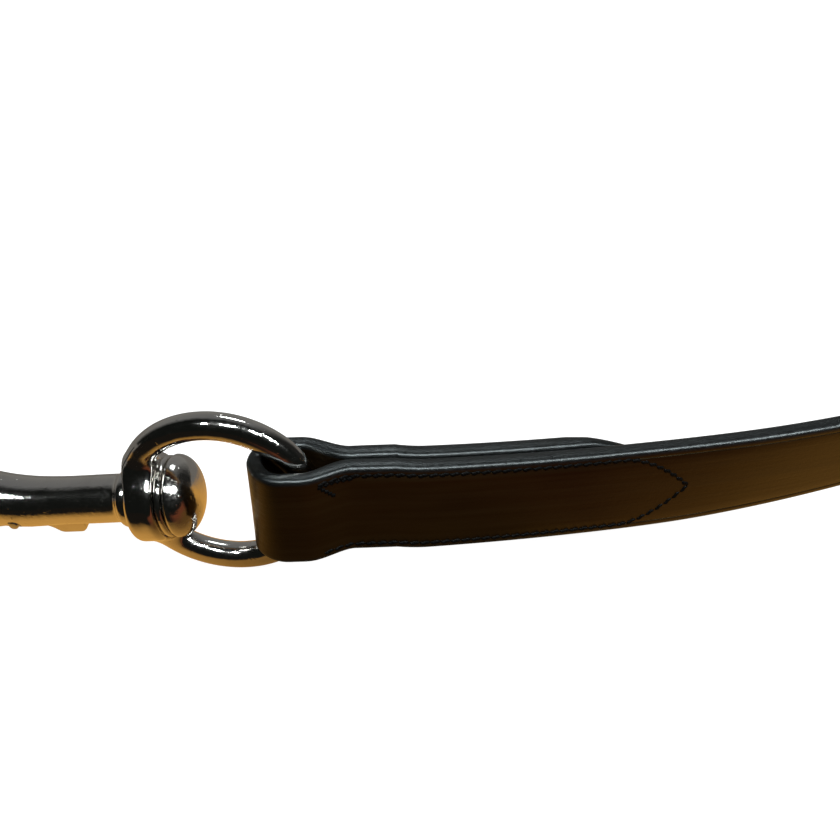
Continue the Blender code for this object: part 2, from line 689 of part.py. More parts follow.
def buckle_tongue(holder):
    """Tongue that turns on the buckle's bar and rests on the free bar."""
    wire = 1.1 * MM
    curl = BUCKLE_BAR + GAP + wire
    line = []
    for k in range(11):
        angle = math.radians(80 - 28 * k)
        line.append((curl * math.cos(angle), curl * math.sin(angle), 0.0))
    line += [(-9 * MM, -2.6 * MM, 0.0), (-20 * MM, -3.0 * MM, 0.0),
             (-BUCKLE_LONG + 1 * MM, -curl - 0.1 * MM, 0.0), (-BUCKLE_LONG - 3.2 * MM, -curl, 0.0)]
    rings = tube_rings(line, [wire] * len(line), (0, 0, 1), 8)
    return add_object("buckle_tongue", *loft(rings), NICKEL, holder)


def crotch_fixings(route, parent):
    """Rivet and burr that hold the fork straps to the end of the body strap."""
    s = BODY_END - 10 * MM
    middle = MAIN_WIDTH / 2
    reach = MAIN_THICK / 2 + GAP + FORK_THICK
    turn = route.angle(s)
    place = add_empty("crotch_rivet_place", (*route.at(s), middle), parent, (0, 0, turn - math.pi / 2))
    head = [(reach + GAP, 4.6 * MM), (reach + GAP + 0.5 * MM, 4.8 * MM),
            (reach + GAP + 1.4 * MM, 3.6 * MM), (reach + GAP + 1.9 * MM, 1.4 * MM)]
    profile = [(-reach - 2.0 * MM, 1.2 * MM), (-reach - 1.4 * MM, 1.5 * MM), (reach + GAP, 1.5 * MM)] + head
    rivet = add_object("crotch_rivet", *turned(profile, 16), BRASS, place)
    loops = []
    for x, radius in ((-reach - GAP, 1.8 * MM), (-reach - GAP, 4.4 * MM), (-reach - 1.2 * MM, 4.0 * MM),
                      (-reach - 1.2 * MM, 1.8 * MM)):
        ring = []
        for k in range(16):
            angle = 2 * math.pi * k / 16
            ring.append(Vector((x, radius * math.cos(angle), radius * math.sin(angle))))
        loops.append(ring)
    burr = add_object("crotch_burr", *loft(loops, closed=True), BRASS, place, 30.0)
    near = route.at(s, -9 * MM)
    far = route.at(s, 9 * MM)
    return rivet, burr, ((*near, middle), (*far, middle))


# ---------------------------------------------------------------- assembly

def build():
    clear_scene()
    root = add_empty("martingale", (0, 0, 0))
    route = Route(JOIN, JOIN_HEADING, ROUTE)

    eye_height = EYE_RADIUS + EYE_WIRE / 2
    hinge_x = EYE_RADIUS - 1.7 * MM
    eye_hinge = add_empty("eye_hinge", (hinge_x, 0, eye_height), root)
    snap_axis = add_empty("snap_axis", (-hinge_x, 0, 0), eye_hinge, (0, -SNAP_PITCH, 0))
    trigger_axis = add_empty("trigger_axis", (PIN_AT[0], 0, PIN_AT[1]), snap_axis)

    swivel_eye(eye_hinge, (-hinge_x, 0, 0))
    swivel_rivet(snap_axis)
    swivel_washer(snap_axis)
    hook_body(snap_axis)
    trigger_lever(trigger_axis)
    trigger_pin(trigger_axis)
    trigger_spring(trigger_axis)

    strap = snap_strap(route, root)
    body = body_strap(route, root)
    bar_s = BUCKLE_AT + BUCKLE_LONG
    turn = route.angle(BUCKLE_AT)
    bar_height = main_lift(bar_s) + MAIN_WIDTH / 2
    frame_place = add_empty("buckle_place", (*route.at(BUCKLE_AT, bar_offset()), bar_height), root, (0, 0, turn))
    buckle_frame(frame_place)
    tongue_axis = add_empty("tongue_axis", (BUCKLE_LONG, 0, 0), frame_place)
    buckle_tongue(tongue_axis)
    near = route.at(BUCKLE_AT + 4 * MM, bar_offset() - 2.75 * MM)
    far = route.at(bar_s - 3 * MM, bar_offset() - 2.75 * MM)
    boolean(strap, cutter_rod("tongue_hole", (*near, bar_height), (*far, bar_height), 2.7 * MM))
    slot_low = route.at(bar_s, bar_offset())
    tongue_slot = cutter_box("tongue_slot", (-9 * MM, -8 * MM, -2.2 * MM), (6.0 * MM, 8 * MM, 2.2 * MM))
    boolean(body, tongue_slot)
    tongue_slot.location = (*slot_low, bar_height)
    tongue_slot.rotation_euler = (0, 0, turn)
    keeper("fixed_keeper", route, 276 * MM, 9 * MM, root)
    keeper("sliding_keeper", route, 292 * MM, 9 * MM, root)

    rivet, burr, bore = crotch_fixings(route, root)
    boolean(body, cutter_rod("body_rivet_hole", *bore, 1.8 * MM))
    for side in ("left", "right"):
        fork, hinge_at = fork_strap(side, route, root)
        boolean(fork, cutter_rod("fork_rivet_hole_" + side, *bore, 1.8 * MM))
        ring_height = RING_RADIUS + RING_WIRE / 2
        hinge = add_empty("ring_hinge_" + side, (*hinge_at, ring_height), root)
        upright_ring("ring_" + side, RING_RADIUS, RING_WIRE, hinge, 36, 10, NICKEL, (RING_RADIUS - 1.0 * MM, 0, 0))
    stand_on_origin(root)


def stand_on_origin(root):
    """Moves the part so that the middle of its box's floor is the origin."""
    bpy.context.view_layer.update()
    graph = bpy.context.evaluated_depsgraph_get()
    points = []
    for obj in bpy.data.objects:
        if obj.type != "MESH" or obj.hide_render:
            continue
        shape = obj.evaluated_get(graph)
        points += [obj.matrix_world @ v.co for v in shape.data.vertices]
    low = [min(p[i] for p in points) for i in range(3)]
    high = [max(p[i] for p in points) for i in range(3)]
    root.location = (-(low[0] + high[0]) / 2, -(low[1] + high[1]) / 2, -low[2])
    bpy.context.view_layer.update()


build()
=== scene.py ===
"""Looks of the running martingale attachment: leather straps, thread, cast nickel, floor and light.

Lengths are in metres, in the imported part's frame.  The straps stand on edge on the floor.  Routes
and sections repeat the part's own construction at a finer pitch; their place comes from the
frame's joints and node boxes.
"""
import json
from math import atan2, copysign, cos, hypot, pi, radians, sin

import bmesh
import bpy
import numpy as np
from mathutils import Matrix, Vector


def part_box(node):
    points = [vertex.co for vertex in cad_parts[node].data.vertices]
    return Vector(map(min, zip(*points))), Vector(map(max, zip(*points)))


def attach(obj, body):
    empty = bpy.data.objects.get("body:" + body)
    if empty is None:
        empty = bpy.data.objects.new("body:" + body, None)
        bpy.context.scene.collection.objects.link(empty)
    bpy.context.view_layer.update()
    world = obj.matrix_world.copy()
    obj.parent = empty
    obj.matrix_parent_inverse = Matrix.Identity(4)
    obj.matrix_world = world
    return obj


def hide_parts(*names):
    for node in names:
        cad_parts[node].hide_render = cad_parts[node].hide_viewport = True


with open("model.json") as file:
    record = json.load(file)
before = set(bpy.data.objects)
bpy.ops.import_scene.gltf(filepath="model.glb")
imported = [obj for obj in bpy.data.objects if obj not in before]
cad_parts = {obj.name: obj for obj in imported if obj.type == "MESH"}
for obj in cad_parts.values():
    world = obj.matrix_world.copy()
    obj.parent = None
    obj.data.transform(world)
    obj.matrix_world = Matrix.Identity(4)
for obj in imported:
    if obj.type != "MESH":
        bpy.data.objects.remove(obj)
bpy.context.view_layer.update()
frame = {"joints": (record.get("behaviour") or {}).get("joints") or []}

MM = 0.001
GAP = 0.3 * MM

# straps, as in the part
MAIN_WIDTH = 23.0 * MM
MAIN_THICK = 3.8 * MM
FORK_WIDTH = 16.0 * MM
FORK_THICK = 3.2 * MM
TAIL_LENGTH = 68.0 * MM
TAIL_SKIVE = (38.0 * MM, 58.0 * MM)
TAIL_THIN = 1.0 * MM
OVERLAP_POINT = 25.5 * MM
TAIL_POINT = 15.0 * MM
ARCH = 1.75                       # how full the sides of a pointed end are
OVERLAP_ARCH = 1.4
TAIL_TIP = 4.0 * MM
EYE_LOOP_START = -2.0 * MM
EYE_LOOP = 20.7 * MM
EYE_LOOP_GAP = 3.75 * MM
EYE_LOOP_THIN = 3.2 * MM
EYE_LOOP_PARTS = 6.9 * MM
EYE_LOOP_SHARE = 0.74
LOOP_SHARE = 0.75
JOIN = (36.0 * MM, 2.5 * MM)
JOIN_HEADING = radians(8.0)
ROUTE = (
    (7 * MM, radians(19.8)),
    (53 * MM, radians(19.0)),
    (46 * MM, radians(21.6)),
    (80 * MM, radians(60.0)),
    (234 * MM, radians(60.0)),
)
LIFT_END = 102 * MM
LIFT_DROP = 0.3 * MM
LIFT_LEVEL = 25 * MM
EYE_LEAN = radians(2.0)
LEAN = radians(7.0)
BUCKLE_AT = 213 * MM
BUCKLE_LONG = 30 * MM
BUCKLE_BAR = 2.0 * MM
BUCKLE_LIFT = 5.6 * MM
BILLET_END = 322 * MM
BODY_FOLD_END = 300 * MM
BODY_LOOP = 16 * MM
BILLET_HOLES = (168 * MM, 194 * MM, 262 * MM, 288 * MM)
BODY_END = 405 * MM
CROTCH_AT = 365 * MM
FORK_ROUTES = {
    "left": ((45 * MM, radians(60.0)), (40 * MM, radians(66.0)),
             (215 * MM, 0.0), (45 * MM, 0.0)),
    "right": ((45 * MM, radians(60.0)), (45 * MM, radians(46.0)),
              (150 * MM, 0.0), (105 * MM, 0.0)),
}
FORK_TAIL = 45 * MM
FORK_POINT = 12 * MM
FORK_LOOP = 14 * MM

# metal, as in the part
EYE_RADIUS = 18.6 * MM
EYE_WIRE = 5.8 * MM
EYE_BASE_RADIUS = 9.4 * MM
EYE_BASE_FAR = 18.6 * MM
EYE_BASE_NEAR = 12.2 * MM
SNAP_PITCH = radians(8.0)
SHANK_RADIUS = 2.4 * MM
DOME_RADIUS = 8.8 * MM
DOME_HEIGHT = 5.8 * MM
WASHER_RADIUS = 8.6 * MM
WASHER_THICK = 1.3 * MM
SLOT_WIDTH = 5.4 * MM
SLOT_TOP = 2.3 * MM
LEVER_THICK = 2.6 * MM
PIN_AT = (-46.0 * MM, -2.0 * MM)
PIN_RADIUS = 1.1 * MM
RING_RADIUS = 20.75 * MM
RING_WIRE = 4.5 * MM

# details that only the looks have
EDGE_DOME = 1.5 * MM              # height of the burnished, rounded edge over the flat face
END_DOME = 0.8 * MM
CREASE_INSET = 2.0 * MM           # crease and stitching, from the strap's edge
CREASE_DEPTH = 0.16 * MM
SEAM_DEPTH = 0.32 * MM            # groove that the stitches lie in
SEAM_START = 16.7 * MM            # the seam behind the eye starts this far up the loop
STITCH_SINK = 0.22 * MM           # how deep the thread lies below the face
STITCH_PITCH = 2.3 * MM
STITCH_LENGTH = 2.9 * MM
STITCH_SLANT = 9.0                # degrees
THREAD = 1.05 * MM
ROD_RIM = 0.35                    # rounding of a rod's ends, as a share of its radius
NET_PITCH = 0.42 * MM             # grid of the cast shapes
FLOOR_HALF = 3.0
CAMERA_FROM_EYE = (0.05423, -0.15296, 0.1539)
CAMERA_TURN = (radians(49.57), 0.0, radians(4.85))

JOINTS = {joint["name"]: joint for joint in frame["joints"]}
EYE_CENTRE = Vector(JOINTS["swivel"]["pos_m"])
ORIGIN = Vector((EYE_CENTRE.x, EYE_CENTRE.y, 0.0))
SNAP_PLACE = Matrix.Translation(EYE_CENTRE) @ Matrix.Rotation(-SNAP_PITCH, 4, "Y")
PIN_PLACE = SNAP_PLACE @ Matrix.Translation((PIN_AT[0], 0, PIN_AT[1]))
BAR_OFFSET = (MAIN_THICK + GAP) / 2   # from the route to the buckle's bars


# ---- shader helpers

class Nodes:
    """Short way to write a node tree."""

    def __init__(self, tree):
        self.tree = tree

    def put(self, socket, value):
        """Feeds a socket from another one, or sets it."""
        if isinstance(value, bpy.types.NodeSocket):
            self.tree.links.new(value, socket)
        elif socket.type == "RGBA":
            socket.default_value = (*value, 1.0)
        else:
            socket.default_value = value

    def feed(self, node, **values):
        """Feeds a node's inputs by name, with _ for a space."""
        for name, value in values.items():
            self.put(node.inputs[name.replace("_", " ")], value)
        return node

    def add(self, kind, **values):
        return self.feed(self.tree.nodes.new(kind), **values)

    def place(self, output="Object"):
        return self.add("ShaderNodeTexCoord").outputs[output]

    def attribute(self, name, output):
        node = self.add("ShaderNodeAttribute")
        node.attribute_name = name
        return node.outputs[output]

    def noise(self, vector, scale, detail=3.0, roughness=0.55):
        node = self.add("ShaderNodeTexNoise", Vector=vector, Scale=scale, Detail=detail, Roughness=roughness)
        return node.outputs["Fac"]

    def mapped(self, vector, scale):
        return self.add("ShaderNodeMapping", Vector=vector, Scale=scale).outputs["Vector"]

    def stretch(self, value, low, high, to_low=0.0, to_high=1.0):
        node = self.add("ShaderNodeMapRange", Value=value, From_Min=low, From_Max=high,
                        To_Min=to_low, To_Max=to_high)
        return node.outputs["Result"]

    def mix_colour(self, factor, first, second):
        node = self.add("ShaderNodeMix")
        node.data_type = "RGBA"
        for index, value in ((0, factor), (6, first), (7, second)):
            self.put(node.inputs[index], value)
        return node.outputs[2]

    def math(self, operation, first, second):
        node = self.add("ShaderNodeMath")
        node.operation = operation
        self.put(node.inputs[0], first)
        self.put(node.inputs[1], second)
        return node.outputs[0]

    def bump(self, height, distance, under=None):
        node = self.add("ShaderNodeBump", Height=height, Distance=distance, Strength=1.0)
        if under is not None:
            self.put(node.inputs["Normal"], under)
        return node.outputs["Normal"]


def new_material(name):
    material = bpy.data.materials.new(name)
    material.use_nodes = True
    nodes = Nodes(material.node_tree)
    return material, nodes, material.node_tree.nodes["Principled BSDF"]


# ---- materials

def leather_material():
    """Dark havana bridle leather with a black burnished edge."""
    material, n, shader = new_material("havana_leather")
    strap = n.attribute("strap", "Vector")
    edge = n.attribute("edge", "Fac")
    streaks = n.noise(n.mapped(strap, (28.0, 900.0, 300.0)), 1.0, 4.0, 0.6)
    clouds = n.noise(n.mapped(strap, (45.0, 120.0, 60.0)), 1.0)
    fibres = n.noise(n.mapped(strap, (1500.0, 2600.0, 2600.0)), 1.0, 3.0, 0.65)
    tone = n.math("ADD", n.math("MULTIPLY", streaks, 0.45), n.math("MULTIPLY", clouds, 0.55))
    face = n.mix_colour(n.stretch(tone, 0.36, 0.66), (0.0026, 0.0011, 0.0002), (0.0062, 0.0029, 0.0005))
    rim = n.mix_colour(n.stretch(fibres, 0.4, 0.75), (0.0014, 0.0016, 0.0016), (0.0062, 0.0068, 0.0068))
    gloss = n.add("ShaderNodeMix")
    gloss_face = n.stretch(streaks, 0.3, 0.7, 0.30, 0.44)
    gloss_edge = n.stretch(fibres, 0.3, 0.7, 0.27, 0.40)
    for index, value in ((0, edge), (2, gloss_face), (3, gloss_edge)):
        n.put(gloss.inputs[index], value)
    world = n.place()
    grain = n.add("ShaderNodeTexVoronoi", Vector=world, Scale=2600.0).outputs["Distance"]
    pores = n.math("ADD", n.math("MULTIPLY", grain, 0.35), n.noise(world, 900.0))
    fine = n.bump(n.math("MULTIPLY", pores, n.math("SUBTRACT", 1.0, edge)), 0.035 * MM)
    drawn = n.bump(streaks, 0.05 * MM, fine)
    rough = n.bump(n.math("MULTIPLY", fibres, edge), 0.05 * MM, drawn)
    tint = n.mix_colour(edge, (0.95, 0.72, 0.40), (0.92, 0.99, 1.0))
    n.feed(shader, Base_Color=n.mix_colour(edge, face, rim), Roughness=gloss.outputs[0],
           Specular_Tint=tint, Normal=rough)
    return material


def thread_material():
    """Waxed black linen thread."""
    material, n, shader = new_material("waxed_thread")
    fuzz = n.noise(n.place(), 5200.0, 2.0)
    colour = n.mix_colour(n.stretch(fuzz, 0.35, 0.7), (0.0006, 0.0006, 0.0006), (0.0022, 0.0021, 0.0020))
    n.feed(shader, Base_Color=colour, Roughness=n.stretch(fuzz, 0.3, 0.7, 0.34, 0.75),
           Specular_IOR_Level=0.06, Normal=n.bump(fuzz, 0.06 * MM))
    return material


def metal_material(name, colour, tarnish, smooth, rough, wave, pit, grain=0.12):
    """Plated or drawn metal: smooth, with a slow unevenness and fine pits."""
    material, n, shader = new_material(name)
    world = n.place()
    slow = n.noise(world, 160.0)
    fine = n.noise(world, 1500.0, 3.0, 0.65)
    speck = n.stretch(n.noise(world, 700.0, 2.0), 0.66, 0.80)
    gloss = n.math("MULTIPLY", slow, n.math("ADD", fine, speck))
    pits = n.math("ADD", n.math("MULTIPLY", fine, grain), speck)
    n.feed(shader, Metallic=1.0, Roughness=n.stretch(gloss, 0.12, 0.6, smooth, rough),
           Base_Color=n.mix_colour(n.stretch(n.math("ADD", slow, speck), 0.45, 1.2), colour, tarnish),
           Normal=n.bump(pits, pit, n.bump(slow, wave)))
    return material


# ---- mesh helpers

def new_object(name, data):
    obj = bpy.data.objects.new(name, data)
    bpy.context.scene.collection.objects.link(obj)
    return obj


def new_mesh(name, skin):
    """Mesh of (verts, faces) with its faces turned outwards."""
    verts, faces = skin
    mesh = bpy.data.meshes.new(name)
    mesh.from_pydata([tuple(v) for v in verts], [], [tuple(f) for f in faces])
    tidy = bmesh.new()
    tidy.from_mesh(mesh)
    bmesh.ops.recalc_face_normals(tidy, faces=tidy.faces)
    tidy.to_mesh(mesh)
    tidy.free()
    return mesh


def add_mesh(name, skin, material, body, replaced=None, smooth_angle=60.0):
    mesh = new_mesh(name, skin)
    mesh.shade_smooth()
    mesh.set_sharp_from_angle(angle=radians(smooth_angle))
    mesh.materials.append(material)
    obj = new_object(name, mesh)
    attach(obj, body)
    if replaced:
        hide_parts(replaced)
    return obj


def circle(count):
    """Cosines and sines of evenly spaced angles, once round."""
    angles = [2 * pi * k / count for k in range(count)]
    return [(cos(angle), sin(angle)) for angle in angles]


def loft(rings, closed=False):
    """Verts and faces of a skin over equal rings, capped unless it closes on itself."""
    count = len(rings[0])
    verts = [point for ring in rings for point in ring]
    faces = []
    for i in range(len(rings) if closed else len(rings) - 1):
        a = i * count
        b = ((i + 1) % len(rings)) * count
        for k in range(count):
            k2 = (k + 1) % count
            faces.append((a + k, a + k2, b + k2, b + k))
    if not closed:
        faces.append(tuple(range(count)))
        faces.append(tuple(range(len(verts) - 1, len(verts) - 1 - count, -1)))
    return verts, faces


def join_skins(skins):
    """One list of verts and faces from several."""
    verts, faces = [], []
    for more_verts, more_faces in skins:
        start = len(verts)
        verts.extend(more_verts)
        faces.extend([tuple(index + start for index in face) for face in more_faces])
    return verts, faces


def tube(centres, radii, side, count, closed=False):
    """Skin of round sections along a path; side is near the normal of the path's plane."""
    centres = [Vector(c) for c in centres]
    side = Vector(side).normalized()
    rings = []
    for i, centre in enumerate(centres):
        before = centres[i - 1] if (i > 0 or closed) else centre
        after = centres[(i + 1) % len(centres)] if (i < len(centres) - 1 or closed) else centre
        along = (after - before).normalized()
        across = along.cross(side).normalized()
        other = across.cross(along).normalized()
        rings.append([centre + radii[i] * (c * across + s * other) for c, s in circle(count)])
    return loft(rings, closed)


def rounded_rod(start, end, radius, count=24):
    """Rod with rounded ends, as a skin."""
    length = (end - start).length
    along = (end - start) / length
    side = along.orthogonal().normalized()
    across = along.cross(side).normalized()
    rim = ROD_RIM * radius
    arc = [radians(angle) for angle in (0, 30, 60, 90)]
    profile = [(rim * (1 - cos(a)), radius - rim + rim * sin(a)) for a in arc]
    profile += [(length - x, r) for x, r in reversed(profile)]
    return loft([[start + along * x + r * (c * across + s * side) for c, s in circle(count)]
                 for x, r in profile])


def turned(profile, count, matrix, closed=False):
    """Skin turned about X from (x, radius) pairs, moved by a matrix."""
    return loft([[matrix @ Vector((x, radius * c, radius * s)) for c, s in circle(count)]
                 for x, radius in profile], closed)


def rounded_frame(low, high, half_tall, corner, steps, outset=0.0):
    """Closed line round a rectangle with rounded corners, moved outwards by outset."""
    reach = corner + outset
    top = half_tall - corner
    line = []
    for x, z, first in ((high - corner, top, 0), (low + corner, top, 90),
                        (low + corner, -top, 180), (high - corner, -top, 270)):
        for k in range(steps + 1):
            angle = radians(first + 90 * k / steps)
            line.append((x + reach * cos(angle), z + reach * sin(angle)))
    return line


# ---- solid shapes from a distance field

def smooth_union(a, b, radius):
    """Union of two distance fields with a fillet of about that radius."""
    h = np.clip(0.5 + 0.5 * (b - a) / radius, 0.0, 1.0)
    return b + (a - b) * h - radius * h * (1 - h)


def smooth_cut(a, b, radius):
    """Field a without field b, with a rounded rim."""
    return -smooth_union(-a, b, radius)


def rod_field(p, axis, radius, low, high, rim=0.0, through=(0.0, 0.0, 0.0)):
    """Rod with rounded rims between two places on its axis."""
    q = p - np.array(through)
    along = q @ np.array(axis)
    across = np.linalg.norm(q - along[:, None] * np.array(axis), axis=1)
    dx = np.abs(along - (low + high) / 2) - (high - low) / 2 + rim
    dr = across - radius + rim
    outside = np.hypot(np.maximum(dx, 0), np.maximum(dr, 0))
    return outside + np.minimum(np.maximum(dx, dr), 0) - rim


def box_field(p, low, high, rim=0.0):
    low, high = np.array(low), np.array(high)
    d = np.abs(p - (low + high) / 2) - (high - low) / 2 + rim
    return np.linalg.norm(np.maximum(d, 0), axis=1) + np.minimum(d.max(axis=1), 0) - rim


def surface_net(field, low, high, pitch):
    """Quad skin of the field's zero surface, its points moved onto that surface."""
    low, high = np.array(low, float), np.array(high, float)
    shape = np.ceil((high - low) / pitch).astype(int) + 1
    axes = [low[i] + pitch * np.arange(shape[i]) for i in range(3)]
    values = np.empty(shape)
    plane = np.stack(np.meshgrid(axes[1], axes[2], indexing="ij"), -1).reshape(-1, 2)
    for i, x in enumerate(axes[0]):
        points = np.concatenate([np.full((len(plane), 1), x), plane], axis=1)
        values[i] = field(points).reshape(shape[1:])
    inside = values < 0
    corners = [(i, j, k) for i in (0, 1) for j in (0, 1) for k in (0, 1)]
    cells = tuple(n - 1 for n in shape)

    def corner(array, offset):
        return array[tuple(slice(o, o + n) for o, n in zip(offset, cells))]

    count = sum(corner(inside, c).astype(int) for c in corners)
    active = (count > 0) & (count < 8)
    index = np.full(cells, -1)
    index[active] = np.arange(active.sum())
    where = np.argwhere(active)
    total = np.zeros((len(where), 3))
    crossings = np.zeros(len(where))
    for a in corners:
        for axis in range(3):
            if a[axis]:
                continue
            b = tuple(o + (1 if i == axis else 0) for i, o in enumerate(a))
            va, vb = corner(values, a)[active], corner(values, b)[active]
            cross = (va < 0) != (vb < 0)
            share = np.where(cross, va / np.where(cross, va - vb, 1.0), 0.0)
            spot = where + np.array(a, float)
            spot[:, axis] += share
            total += spot * cross[:, None]
            crossings += cross
    points = low + pitch * total / crossings[:, None]
    faces = []
    for axis in range(3):
        u, v = [(1, 2), (2, 0), (0, 1)][axis]
        first = [slice(1, -1)] * 3
        first[axis] = slice(0, -1)
        second = list(first)
        second[axis] = slice(1, None)
        a, b = inside[tuple(first)], inside[tuple(second)]
        for flip, mask in ((False, a & ~b), (True, ~a & b)):
            spots = np.argwhere(mask)
            spots[:, u] += 1
            spots[:, v] += 1
            quad = []
            for du, dv in ((-1, -1), (0, -1), (0, 0), (-1, 0)):
                cell = spots.copy()
                cell[:, u] += du
                cell[:, v] += dv
                quad.append(index[cell[:, 0], cell[:, 1], cell[:, 2]])
            quad = np.stack(quad[::-1] if flip else quad, 1)
            faces.append(quad)
    faces = np.concatenate(faces)
    step = pitch * 0.05
    for _ in range(4):
        value = field(points)
        slope = np.stack([(field(points + step * e) - field(points - step * e)) / (2 * step)
                          for e in np.eye(3)], 1)
        size = np.maximum((slope ** 2).sum(1), 0.05)
        move = np.clip(value / size, -0.5 * pitch, 0.5 * pitch)
        points = points - slope * move[:, None]
    return points, faces


def add_field(name, field, low, high, matrix, material, body, replaced):
    points, faces = surface_net(field, low, high, NET_PITCH)
    points = [matrix @ Vector(p) for p in points]
    return add_mesh(name, (points, faces.tolist()), material, body, replaced, 75.0)


# ---- routes

def smooth_step(x):
    x = min(max(x, 0.0), 1.0)
    return x * x * (3 - 2 * x)


def ramp(s, start, end, low, high):
    return low + (high - low) * smooth_step((s - start) / (end - start))


def ramp_linear(s, start, end, low, high):
    share = min(max((s - start) / (end - start), 0.0), 1.0)
    return low + (high - low) * share


def spaced(start, end, step):
    count = max(int(round(abs(end - start) / step)), 1)
    return [start + (end - start) * k / count for k in range(count + 1)]


def run_lengths(points):
    """Length from the first point to each one."""
    steps = np.linalg.norm(np.diff(points, axis=0), axis=1)
    return np.concatenate([[0.0], np.cumsum(steps)])


class Route:
    """A line on the floor made of stretches whose heading changes evenly."""

    def __init__(self, start, heading, stretches, step=1.0 * MM):
        xs, ys, headings = [start[0]], [start[1]], [heading]
        for length, end_heading in stretches:
            count = max(int(round(length / step)), 1)
            begin = headings[-1]
            for k in range(count):
                angle = begin + (end_heading - begin) * (k + 0.5) / count
                xs.append(xs[-1] + length / count * cos(angle))
                ys.append(ys[-1] + length / count * sin(angle))
                headings.append(begin + (end_heading - begin) * (k + 1) / count)
        self.x, self.y, self.heading = np.array(xs), np.array(ys), np.array(headings)
        self.s = run_lengths(np.stack([self.x, self.y], 1))
        self.length = float(self.s[-1])

    def angle(self, s):
        return float(np.interp(s, self.s, self.heading))

    def at(self, s, offset=0.0):
        """Point at length s, moved to the left by offset; s may run past both ends."""
        angle = self.angle(s)
        inside = min(max(s, 0.0), self.length)
        over = s - inside
        x = float(np.interp(inside, self.s, self.x)) + over * cos(angle)
        y = float(np.interp(inside, self.s, self.y)) + over * sin(angle)
        return (x - offset * sin(angle), y + offset * cos(angle))


def loop_points(start, direction, length, half_gap, thick, parts=0.0, share=LOOP_SHARE, steps=24):
    """Middle line of a strap folded round a ring, from the right-hand layer to the left-hand one."""
    middle = Route(start, direction, ((length, direction),))
    narrow = (thick + GAP) / 2
    wide = half_gap + thick / 2
    opened = parts + share * (length - parts)
    stations = [length * k / steps for k in range(steps)]
    points = [middle.at(s, -ramp(s, parts, opened, narrow, wide)) for s in stations]
    nose = middle.at(length)
    for k in range(33):
        angle = direction + radians(-90 + 180 * k / 32)
        points.append((nose[0] + wide * cos(angle), nose[1] + wide * sin(angle)))
    points += [middle.at(s, ramp(s, parts, opened, narrow, wide)) for s in reversed(stations)]
    return points


# ---- heights and offsets of the main strap

def main_lift(s):
    eye_height = EYE_RADIUS + EYE_WIRE / 2 - MAIN_WIDTH / 2
    at_eye = (eye_height - LIFT_DROP) * max(1 - s / LIFT_END, 0.0) ** 2
    if s <= 0:
        at_eye = eye_height - LIFT_DROP + LIFT_DROP * min(-s / LIFT_LEVEL, 1.0)
    at_buckle = ramp(s, 165 * MM, 205 * MM, 0.0, BUCKLE_LIFT)
    after_buckle = ramp(s, 316 * MM, 360 * MM, 0.0, BUCKLE_LIFT)
    return at_eye + at_buckle - after_buckle


def main_lean(s):
    at_bend = LEAN * (ramp(s, 62 * MM, 127 * MM, 0.0, 1.0) - ramp(s, 132 * MM, 180 * MM, 0.0, 1.0))
    return at_bend - ramp(s, 50 * MM, 88 * MM, EYE_LEAN, 0.0)


def billet_offset(s):
    single = -BAR_OFFSET
    behind_bar = BAR_OFFSET + BUCKLE_BAR + GAP + MAIN_THICK / 2 + 0.3 * MM
    before_fold = BAR_OFFSET - BUCKLE_BAR - 0.5 * MM - MAIN_THICK - GAP - MAIN_THICK / 2 - 0.2 * MM
    on_body = -(MAIN_THICK + GAP)
    offset = ramp(s, 176 * MM, 209 * MM, single, behind_bar)
    offset += ramp(s, 215 * MM, 241 * MM, 0.0, before_fold - behind_bar)
    offset += ramp(s, 247 * MM, 268 * MM, 0.0, on_body - before_fold)
    return offset


def fork_lift(s, length):
    start = (MAIN_WIDTH - FORK_WIDTH) / 2
    end = RING_RADIUS + RING_WIRE / 2 - FORK_WIDTH / 2
    return start - ramp(s, 50 * MM, 110 * MM, 0.0, start) + ramp(s, length - 110 * MM, length, 0.0, end)


# ---- strap skins

def strap_section(width, thick, crease):
    """Points (across, up, edge share) round a strap's section, left face first, bottom to top."""
    half_t = thick / 2
    half_w = width / 2
    flat = half_w - min(EDGE_DOME, 0.45 * half_w)
    inset = min(CREASE_INSET, 0.55 * half_w)
    near = [(0.0, 0.0), (0.45, 0.0), (0.75, 0.35), (1.0, 1.0), (1.25, 0.35), (1.6, 0.0)]
    band = max(inset - (half_w - flat), 0.2 * MM)
    side = [(flat - band * place, crease * depth) for place, depth in near]
    inner = side[-1][0]
    side += [(inner * share, 0.0) for share in (0.75, 0.5, 0.25, 0.0)]
    column = [(-v, d) for v, d in side[:-1]] + side[::-1]
    arc = []
    steps = 12
    for k in range(1, steps):
        angle = pi * k / steps
        c, s = cos(angle), sin(angle)
        across = half_t * copysign(abs(c) ** 0.7, c)
        arc.append((across, flat + (half_w - flat) * s ** 0.7))
    points = [(half_t - d, v, 0.0) for v, d in column]
    points += [(u, v, 1.0) for u, v in arc]
    points += [(-half_t + d, -v, 0.0) for v, d in column]
    points += [(-u, -v, 1.0) for u, v in arc]
    return np.array(points)


def frame_at(point, heading, lift, lean, section):
    """Middle, outward and upward directions of a section that stands on its lift."""
    normal = np.array([-sin(heading), cos(heading), 0.0])
    up = np.array([0.0, 0.0, 1.0])
    tilted_up = up * cos(lean) - normal * sin(lean)
    tilted_out = normal * cos(lean) + up * sin(lean)
    lowest = (section[:, 0] * tilted_out[2] + section[:, 1] * tilted_up[2]).min()
    middle = np.array([point[0] + ORIGIN.x, point[1] + ORIGIN.y, lift - lowest])
    return middle, tilted_out, tilted_up


